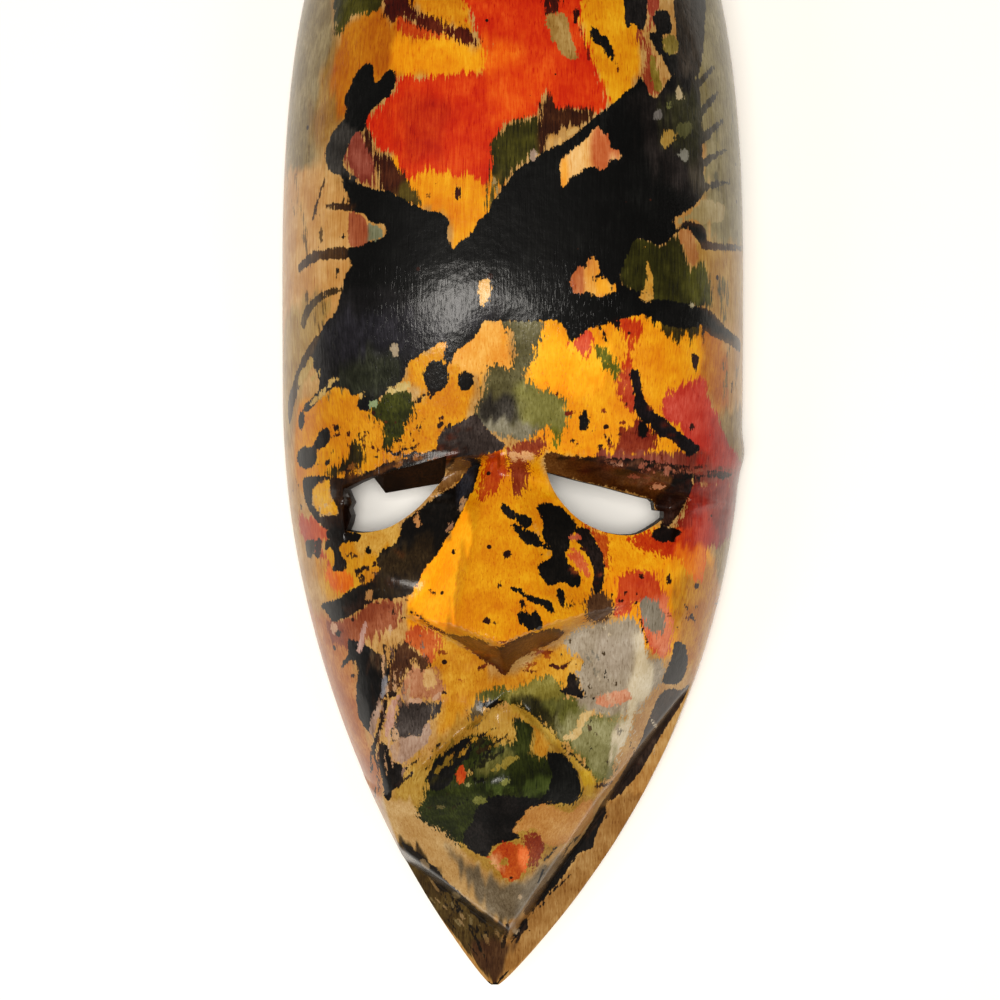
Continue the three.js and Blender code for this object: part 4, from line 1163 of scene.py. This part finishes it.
spared_on_the_brows = [
    ("A89A84", [(392, 346), (398, 344), (398, 350), (396, 357), (392, 352)]),
    ("C0A468", [(322, 390), (330, 381), (337, 376), (338, 380), (330, 386), (325, 394), (316, 402),
        (310, 404)]),
    ("B49A60", [(312, 357), (312, 366), (304, 378), (298, 388), (298, 378), (304, 368)]),
    ("B49A60", [(319, 370), (318, 376), (310, 382), (312, 376)]),
    ("C0AA70", [(387, 389), (396, 387), (408, 380), (412, 386), (398, 392), (388, 392)]),
    ("C4A668", [(359, 394), (364, 389), (368, 390), (366, 395), (360, 398)]),
    ("94A07C", [(369, 403), (376, 401), (374, 407), (369, 408)]),
]
spared_by_eyes_and_nose = [
    ("7E5A30", [(452, 466), (458, 459), (468, 461), (470, 466), (462, 476), (455, 483), (445, 490),
        (439, 492), (440, 484), (447, 475)]),
    ("C49A6C", [(416, 513), (421, 513), (420, 527), (416, 527), (414, 520)]),
    ("B08A64", [(463, 498), (467, 499), (463, 507), (459, 512), (460, 505)]),
    ("A88468", [(452, 522), (453, 527), (447, 534), (444, 532), (447, 526)]),
    ("C89A6C", [(508, 453), (515, 452), (518, 460), (511, 461)]),
    ("D0A070", [(522, 453), (532, 453), (533, 458), (525, 461)]),
    ("D09D20", [(313, 490), (320, 484), (329, 480), (330, 494), (335, 504), (338, 513), (328, 513),
        (320, 512), (314, 504)]),
    ("D8A24A", [(534, 519), (537, 524), (541, 530), (540, 537), (534, 531)]),
    ("C8683C", [(572, 547), (578, 549), (584, 558), (589, 568), (591, 577), (583, 574), (577, 566),
        (570, 557)]),
    ("BC6A4C", [(572, 533), (578, 533), (581, 539), (575, 542), (571, 539)]),
    ("C8963C", [(544, 552), (552, 551), (549, 558), (543, 560)]),
    ("B08A5C", [(366, 592), (373, 590), (372, 598), (366, 600)]),
    ("C09070", [(664, 484), (656, 483), (650, 487), (658, 490), (666, 488)]),
    ("C8A088", [(611, 461), (622, 463), (624, 466), (612, 465)]),
]
spared_wood_and_painted_highlight_on_the_muzzle = [
    ("C8A050", [(569, 664), (574, 659), (582, 660), (582, 667), (574, 671), (568, 669)]),
    ("C8967A", [(598, 696), (610, 692), (626, 690), (632, 698), (620, 704), (606, 707), (596, 704)]),
    ("C8B080", [(580, 716), (588, 711), (596, 712), (588, 720), (580, 736), (572, 740), (564, 738),
        (576, 728)]),
    ("C8A890", [(331, 624), (337, 624), (338, 630), (333, 634)]),
    ("B8968A", [(364, 622), (368, 624), (366, 636), (362, 650), (358, 653), (357, 646), (360, 634)]),
    # Partly scratch and partly painted highlight: the pale line where the edge of the left cheek catches the
    # light.
    ("7E7C80", [(383, 680), (386, 676), (388, 684), (385, 694), (381, 700)]),
    ("B09684", [(381, 700), (383, 702), (379, 716), (374, 732), (370, 730), (374, 712)]),
    ("B89484", [(394, 698), (400, 694), (396, 712), (390, 732), (385, 736), (386, 716), (388, 704)]),
    ("A88E7C", [(390, 748), (398, 742), (410, 735), (419, 738), (424, 727), (430, 720), (432, 733),
        (426, 745), (415, 755), (404, 763), (395, 762)]),
    ("C8A878", [(424, 672), (432, 669), (437, 677), (435, 687), (427, 690), (424, 682)]),
    ("C0A088", [(402, 698), (404, 694), (414, 699), (430, 698), (440, 692), (441, 696), (430, 702),
        (408, 702)]),
]
spared_on_the_mouth = [
    ("BA5420", [(457, 770), (463, 768), (466, 775), (464, 783), (458, 781)]),
    ("B89858", [(467, 769), (471, 771), (470, 778), (467, 777)]),
    ("8C8A58", [(464, 784), (470, 782), (472, 788), (466, 788)]),
    ("8C8C54", [(500, 782), (507, 778), (511, 780), (508, 787), (501, 787)]),
    ("787840", [(470, 800), (478, 796), (486, 799), (482, 804), (474, 804)]),
    ("78704C", [(437, 806), (444, 805), (446, 809), (439, 810)]),
    ("948440", [(489, 772), (500, 764), (510, 757), (519, 757), (512, 764), (498, 770)]),
    ("B8842A", [(534, 727), (542, 728), (548, 738), (549, 747), (545, 755), (537, 755), (533, 748),
        (535, 738)]),
    ("B49440", [(512, 706), (524, 711), (536, 720), (548, 731), (560, 744), (574, 758), (588, 771),
        (594, 782), (592, 797), (586, 795), (586, 782), (576, 768), (562, 752), (548, 740), (532, 724),
        (516, 714)]),
    ("BB992E", [(580, 771), (587, 770), (593, 778), (592, 785), (585, 785), (580, 779)]),
    ("BE9054", [(524, 815), (535, 806), (550, 804), (560, 810), (574, 810), (583, 803), (592, 800),
        (594, 814), (586, 828), (574, 838), (560, 845), (546, 846), (540, 836), (530, 828), (516, 833),
        (513, 830)]),
    ("B6591C", [(489, 856), (497, 846), (510, 842), (522, 845), (528, 852), (527, 862), (524, 872),
        (515, 880), (506, 879), (498, 870), (491, 862)]),
]
spared_on_the_chin = [
    ("8C7A60", [(421, 862), (427, 862), (431, 869), (426, 869)]),
    ("8C7A58", [(452, 893), (458, 893), (461, 898), (454, 898)]),
    ("B4A084", [(519, 897), (522, 895), (525, 897), (521, 900)]),
    ("C8B498", [(511, 931), (515, 929), (518, 932), (514, 935)]),
    ("A89078", [(510, 924), (514, 923), (515, 927), (511, 928)]),
]
for colour, outline in (spared_on_the_forehead + spared_on_the_brows + spared_by_eyes_and_nose
                        + spared_wood_and_painted_highlight_on_the_muzzle + spared_on_the_mouth + spared_on_the_chin):
    spared.lay(colour, inside_outline(outline))
shades_of_spared_wood = [
    ("C07448", 2.5, [(590, 128), (606, 130), (616, 152), (600, 172), (588, 168)]),
    ("E0A040", 2.0, [(560, 160), (564, 158), (566, 186), (560, 186)]),
    ("B8764A", 2.5, [(566, 266), (588, 264), (588, 296), (570, 294)]),
    ("E4AC3C", 2.0, [(600, 276), (618, 288), (612, 296), (600, 296)]),
    ("D8B080", 2.0, [(488, 852), (498, 856), (500, 870), (494, 870)]),
    ("E07A40", 2.0, [(518, 852), (530, 852), (526, 872), (518, 868)]),
]
for colour, soft, outline in shades_of_spared_wood:
    spared.tint(colour, soft, inside_outline(outline))
specks_in_the_windows = [(598, 278, 3.5, 3), (504, 862, 4, 4), (646, 280, 1.5, 4), (322, 500, 1.5, 3),
    (316, 496, 1.5, 2), (326, 506, 2, 2), (320, 508, 1.5, 2), (324, 490, 2, 1.5)]
spared.spare(inside_drops(specks_in_the_windows))


# The crown, past the edge of what the photograph shows: the same dyes in the same order, fewer.
wood_of_the_crown_with_painted_reflection = [
    # The olive-grey sides here are partly the wood's tone and partly the same painted reflection as the sides
    # below.
    ("8C7A50", 6.0, [(290, -30), (338, -40), (360, -120), (430, -196), (370, -180), (310, -110)]),
    ("CB8D18", 3.0, [(408, -30), (466, -30), (476, -110), (446, -170), (404, -130)]),
    ("D39712", 3.0, [(574, -30), (632, -30), (640, -100), (604, -156), (580, -100)]),
    ("8C8058", 5.0, [(690, -30), (745, -40), (700, -140), (640, -186), (650, -100)]),
]
for colour, soft, outline in wood_of_the_crown_with_painted_reflection:
    ground.tint(colour, soft, inside_outline(outline))
splashes_of_the_crown = [
    (red, "C3450E", [(466, -40), (583, -40), (590, -96), (572, -150), (530, -186), (484, -172),
        (462, -110)]),
    (red, "94441F", [(645, -40), (658, -40), (654, -110), (640, -134), (634, -84)]),
    (green, "4E4A12", [(338, -40), (385, -40), (396, -96), (424, -150), (400, -166), (352, -104)]),
    (green, "5A200C", [(382, -40), (408, -40), (424, -96), (432, -140), (404, -116)]),
    (green, "541C0C", [(546, -40), (562, -40), (566, -90), (554, -118), (542, -84)]),
    (black, "181614", [(424, -86), (446, -100), (466, -96), (486, -116), (512, -108), (520, -128),
        (544, -130), (538, -106), (560, -98), (550, -84), (520, -86), (500, -70), (474, -76), (450, -64)]),
    (black, "221E1C", [(622, -40), (646, -40), (650, -90), (640, -112), (626, -80)]),
]
for coat, colour, outline in splashes_of_the_crown:
    coat.lay(colour, inside_outline(outline))
drops_of_the_crown = [(580, -120, 5, 8), (596, -70, 3, 5), (400, -60, 4, 6), (470, -140, 3, 6)]
black.lay("1A1512", inside_drops(drops_of_the_crown))


# Splinters, knife scratches and dirt: short strokes strewn at random along the rough edges of
# the cuts, where the dye pooled in the scratches or the lacquer flaked from them. One run of pale
# strokes on the right of the muzzle is a painted highlight.
FIRST_SEED = 20


def strew(coat, seed, count, start, end, spread, long, colours):
    """Short strokes strewn along a line of the view, each nearly in line with it."""
    rng = np.random.default_rng(seed)
    start, end = np.array(start, float), np.array(end, float)
    along = (end - start) / np.hypot(*(end - start))
    for _ in range(count):
        middle = blend(start, end, rng.uniform()) + rng.normal(0, spread, 2)
        turn = rng.normal(0, 0.15)
        way = np.array([along[0] - turn * along[1], along[1] + turn * along[0]])
        reach = way * long * rng.uniform(0.3, 1.0) / 2
        places = [(*(middle - reach), 1.0), (*middle, rng.uniform(1.5, 3.5)), (*(middle + reach), 1.0)]
        coat.lay(colours[rng.integers(len(colours))], inside_stroke(places))


strewn_strokes_and_painted_highlight_streaks = [
    (black, 34, (590, 464), (728, 474), 4.5, 32, ["120B08", "3A1A10", "5A2A18"]),
    (spared, 18, (604, 465), (726, 474), 4, 24, ["9A6450", "A87058", "7A4A34"]),
    (black, 34, (330, 477), (452, 457), 4, 16, ["1A1008", "3A2412", "6A4418"]),
    (spared, 12, (340, 474), (440, 458), 4, 12, ["8A5E28", "A87A34"]),
    (black, 18, (306, 482), (328, 522), 6, 12, ["1A120C", "2A1C10"]),
    (black, 34, (384, 640), (380, 790), 9, 26, ["2A1E16", "4A3426", "1A1410"]),
    (spared, 26, (392, 650), (392, 780), 10, 26, ["B89878", "C0A080", "8A7060"]),
    (black, 26, (430, 790), (500, 740), 12, 18, ["1A1A0C", "2A2410", "3A3414"]),
    (spared, 20, (426, 770), (500, 718), 10, 18, ["A8843A", "8C7430", "B8943E"]),
    (black, 22, (420, 860), (495, 960), 9, 24, ["1E160C", "2E2210"]),
    (spared, 14, (430, 880), (490, 950), 9, 18, ["7A6A48", "8C7450"]),
    (black, 24, (602, 812), (516, 930), 7, 28, ["1A120C", "3A2818"]),
    (black, 22, (430, 650), (570, 662), 10, 14, ["8A4A14", "6A3410", "A05A1C"]),
    # Painted highlight: pale streaks along the ridge of the right muzzle.
    (spared, 16, (590, 640), (636, 740), 13, 14, ["C8BCA6", "B8AC98", "8A8478"]),
    (black, 20, (580, 650), (612, 770), 13, 9, ["3A3428", "5A4A34"]),
    (black, 40, (320, 432), (468, 436), 13, 8, ["5A2A0C", "7A3E10", "3A1E0C"]),
    (black, 26, (560, 420), (706, 440), 14, 8, ["6A2A10", "8A3C14"]),
    (black, 26, (350, 562), (420, 600), 16, 12, ["2A1C10", "5A3A1C"]),
    (black, 16, (560, 560), (700, 620), 16, 7, ["4A2010", "7A3A18"]),
    (green, 14, (300, 150), (330, 420), 10, 30, ["7A6238", "8A7040"]),
    (green, 14, (726, 120), (724, 420), 7, 34, ["6A6444", "7A6E40"]),
]
for coat, count, start, end, spread, long, colours in strewn_strokes_and_painted_highlight_streaks:
    strew(coat, FIRST_SEED + count, count, start, end, spread, long, colours)


# The finish of the face: light hardwood with open pores, dyed with spirit dyes that creep along
# the grain, chipped and rubbed in places, under one brushed coat of clear varnish. Each coat's
# edge is creep and streak millimetres of noise wide, and soft over the third number.
GRAIN_WIDTH, GRAIN_LONG = 0.55, 9.0
FINE_PER_MM, BRUSH_PER_MM, CLOUDS_PER_MM = 0.8, 0.35, 0.10
COAT_EDGES = {"red": (1.0, 4.5, 0.45), "green": (1.0, 4.2, 0.3), "black": (0.8, 0.9, 0.12),
              "spared": (1.2, 1.4, 0.16)}


def node(tree, kind, settings, **inputs):
    """Add a node with its settings, and give its inputs values or links; _0 is the first input."""
    made = tree.nodes.new("ShaderNode" + kind)
    for name, value in settings.items():
        setattr(made, name, value)
    for name, value in inputs.items():
        socket = made.inputs[int(name[1:])] if name[0] == "_" else made.inputs[name.replace("_", " ")]
        if isinstance(value, bpy.types.NodeSocket):
            tree.links.new(value, socket)
        else:
            socket.default_value = value
    return made


def keep_coat(name, coat):
    """Keep a coat's field and colour as attributes of the mesh."""
    field = body.attributes.new(name + "_field", 'FLOAT', 'POINT')
    field.data.foreach_set("value", coat.field.astype(np.float32))
    colour = body.attributes.new(name + "_colour", 'FLOAT_COLOR', 'POINT')
    colour.data.foreach_set("color", coat.colour.astype(np.float32).ravel())


coats = {"ground": ground, "red": red, "green": green, "black": black, "spared": spared}
for name, coat in coats.items():
    keep_coat(name, coat)

dyed_wood.use_nodes = True
tree = dyed_wood.node_tree
shader = tree.nodes["Principled BSDF"]
place = node(tree, "TexCoord", {}).outputs["Object"]
per_mm = node(tree, "Mapping", {}, Vector=place, Scale=(1000.0, 1000.0, 1000.0)).outputs[0]
along_grain = node(tree, "Mapping", {}, Vector=place,
                   Scale=(1000 / GRAIN_WIDTH, 1000 / GRAIN_LONG, 1000 / GRAIN_WIDTH)).outputs[0]
fine = node(tree, "TexNoise", {}, Vector=per_mm, Scale=FINE_PER_MM, Detail=4.0, Roughness=0.6).outputs["Fac"]
grain = node(tree, "TexNoise", {}, Vector=along_grain, Scale=1.0, Detail=3.0, Roughness=0.6).outputs["Fac"]


def mixed(tree, a, b, share):
    """One colour over another by a share."""
    mix = node(tree, "Mix", {"data_type": 'RGBA'}, _0=share, _6=a, _7=b)
    return mix.outputs[2]


def math_of(tree, operation, a, b, c=0.0):
    """A sum or product of numbers."""
    return node(tree, "Math", {"operation": operation}, _0=a, _1=b, _2=c).outputs[0]


def stepped(tree, value, low, high, to_low=0.0, to_high=1.0):
    """A soft step of a value between two limits."""
    return node(tree, "MapRange", {"interpolation_type": 'SMOOTHSTEP'}, _0=value, _1=low, _2=high,
                _3=to_low, _4=to_high).outputs[0]


dye = node(tree, "Attribute", {"attribute_name": "ground_colour"}).outputs["Color"]
shares = {}
for name, (creep, streak, soft) in COAT_EDGES.items():
    field = node(tree, "Attribute", {"attribute_name": name + "_field"}).outputs["Fac"]
    colour = node(tree, "Attribute", {"attribute_name": name + "_colour"}).outputs["Color"]
    edge = math_of(tree, 'MULTIPLY_ADD', math_of(tree, 'SUBTRACT', fine, 0.5), 2 * creep, field)
    edge = math_of(tree, 'MULTIPLY_ADD', math_of(tree, 'SUBTRACT', grain, 0.5), 2 * streak, edge)
    shares[name] = stepped(tree, edge, -soft, soft)
    dye = mixed(tree, dye, colour, shares[name])

# Fine spatter from the brush: one drop in every few cells of a scattered pattern.
SPATTER_CELL = 6.5
cell = node(tree, "Mapping", {}, Vector=place, Scale=(1000 / SPATTER_CELL,) * 3).outputs[0]
scattered = node(tree, "TexVoronoi", {}, Vector=cell, Scale=1.0)
luck = node(tree, "SeparateColor", {}, Color=scattered.outputs["Color"]).outputs[0]
reach = math_of(tree, 'MULTIPLY_ADD', luck, 0.38, -0.25)
drop = stepped(tree, math_of(tree, 'SUBTRACT', reach, scattered.outputs["Distance"]), -0.015, 0.015)
dye = mixed(tree, dye, srgb("3A1A0C"), drop)

# Pores and figure: where the dye lies thicker, light crosses more of it, so its colour is raised
# to a higher power; short dark pore lines run along the grain.
PORE_WIDTH, PORE_LONG = 0.35, 5.0
along_pores = node(tree, "Mapping", {}, Vector=place,
                   Scale=(1000 / PORE_WIDTH, 1000 / PORE_LONG, 1000 / PORE_WIDTH)).outputs[0]
pores = node(tree, "TexNoise", {}, Vector=along_pores, Scale=1.0, Detail=2.0).outputs["Fac"]
pore_line = stepped(tree, pores, 0.58, 0.72)
clouds = node(tree, "TexNoise", {}, Vector=per_mm, Scale=CLOUDS_PER_MM, Detail=5.0,
              Roughness=0.6).outputs["Fac"]
thickness = stepped(tree, clouds, 0.3, 0.7, 1.04, 1.5)
thickness = math_of(tree, 'MULTIPLY_ADD', stepped(tree, grain, 0.3, 0.7, -0.5, 0.5), 0.30, thickness)
thickness = math_of(tree, 'MULTIPLY_ADD', pore_line, 0.45, thickness)
shaded = node(tree, "Gamma", {}, Color=dye, Gamma=thickness).outputs[0]
tree.links.new(shaded, shader.inputs["Base Color"])

grain_rise = math_of(tree, 'MULTIPLY_ADD', pore_line, -0.5, grain)
bump = node(tree, "Bump", {}, Strength=0.35, Distance=0.00012, Height=grain_rise)
brushed = node(tree, "TexNoise", {}, Vector=per_mm, Scale=BRUSH_PER_MM, Detail=3.0).outputs["Fac"]
varnish_bump = node(tree, "Bump", {}, Strength=0.35, Distance=0.00035, Height=brushed, Normal=bump.outputs[0])
tree.links.new(varnish_bump.outputs[0], shader.inputs["Normal"])
tree.links.new(varnish_bump.outputs[0], shader.inputs["Coat Normal"])
shader.inputs["Roughness"].default_value = 0.5
shader.inputs["Specular IOR Level"].default_value = 0.15
shader.inputs["Coat Weight"].default_value = 0.6
shader.inputs["Coat Roughness"].default_value = 0.16

# The back and the eye holes: hardwood with no dye, grey-brown with age and rough from the gouge
# on the back, and dark brown on the knife cuts of the eyes, partly a stain and partly painted shade
# inside the holes.
GRAIN_BANDS, RING_WIDTH, RING_LONG = 0.7, 8.0, 110.0


def plain_wood(material, dark, light, ring, roughness):
    """Bare wood: dark and light grain lines with slow bands of a third colour."""
    material.use_nodes = True
    tree = material.node_tree
    shader = tree.nodes["Principled BSDF"]
    place = node(tree, "TexCoord", {}).outputs["Object"]
    lines_at = node(tree, "Mapping", {}, Vector=place,
                    Scale=(1000 / GRAIN_BANDS, 1000 / GRAIN_LONG, 1000 / GRAIN_BANDS)).outputs[0]
    lines = node(tree, "TexNoise", {}, Vector=lines_at, Scale=1.0, Detail=5.0, Roughness=0.65)
    rings_at = node(tree, "Mapping", {}, Vector=place,
                    Scale=(1000 / RING_WIDTH, 1000 / RING_LONG, 1000 / RING_WIDTH)).outputs[0]
    rings = node(tree, "TexNoise", {}, Vector=rings_at, Scale=1.0, Detail=2.0)
    tone = mixed(tree, srgb(dark), srgb(light), stepped(tree, lines.outputs["Fac"], 0.3, 0.7))
    tone = mixed(tree, tone, srgb(ring), stepped(tree, rings.outputs["Fac"], 0.4, 0.65))
    tree.links.new(tone, shader.inputs["Base Color"])
    shader.inputs["Roughness"].default_value = roughness
    bump = node(tree, "Bump", {}, Strength=0.5, Distance=0.0003, Height=lines.outputs["Fac"])
    tree.links.new(bump.outputs[0], shader.inputs["Normal"])


plain_wood(bare_wood, "4A2C16", "8A6238", "6B4526", 0.75)
# Dark brown knife cuts: partly stain and partly painted shade inside the eye holes.
plain_wood(cut_wood_with_painted_shade, "140C06", "4A2C14", "24150A", 0.6)

# The floor and the light: a pale sheet on a table, a soft lamp nearly overhead that gives the
# varnish its one glint, and weaker ones from both sides and by the camera.
FLOOR_HALF = 2000.0
floor_corners = np.array([[-1, -1, 0], [1, -1, 0], [1, 1, 0], [-1, 1, 0]]) * FLOOR_HALF
floor_mesh = mesh_of("floor", floor_corners, np.array([[0, 1, 2, 3]]))
floor = bpy.data.objects.new("floor", floor_mesh)
scene.collection.objects.link(floor)
paper = bpy.data.materials.new("pale_paper")
paper.use_nodes = True
sheet = paper.node_tree.nodes["Principled BSDF"]
sheet.inputs["Base Color"].default_value = srgb("FEFCF8")
sheet.inputs["Roughness"].default_value = 0.9
floor_mesh.materials.append(paper)


def lamp(name, place, size, watts, colour):
    """A square area light aimed at the middle of the face."""
    data = bpy.data.lights.new(name, 'AREA')
    data.size = size
    data.energy = watts
    data.color = srgb(colour)[:3]
    light = bpy.data.objects.new(name, data)
    light.location = place
    aim = Vector((0, -0.03, 0)) - Vector(place)
    light.rotation_euler = aim.to_track_quat('-Z', 'Y').to_euler()
    scene.collection.objects.link(light)
    return light


lamp("overhead_lamp", (-0.28, -0.20, 1.4), 0.42, 6.8, "FFFAF2")
lamp("left_window", (-1.0, -0.40, 0.85), 0.5, 2.6, "FAFAFF").visible_glossy = False
lamp("right_lamp", (0.8, -0.55, 1.0), 0.5, 2.4, "FFF6EA").visible_glossy = False
lamp("camera_lamp", (0.0, -0.03, 1.0), 0.2, 6.8, "FFFBF4").visible_glossy = False

# The room: dim even light on the mask, and a pale wall where the view looks past the floor.
ROOM_LIGHT, WALL_LIGHT = 0.09, 0.62
world = bpy.data.worlds.new("room")
world.use_nodes = True
sky = world.node_tree.nodes["Background"]
sky.inputs["Color"].default_value = srgb("FFFAF2")
seen = node(world.node_tree, "LightPath", {}).outputs["Is Camera Ray"]
strength = math_of(world.node_tree, 'MULTIPLY_ADD', seen, WALL_LIGHT, ROOM_LIGHT)
world.node_tree.links.new(strength, sky.inputs["Strength"])
scene.world = world
scene.view_settings.view_transform = 'Standard'
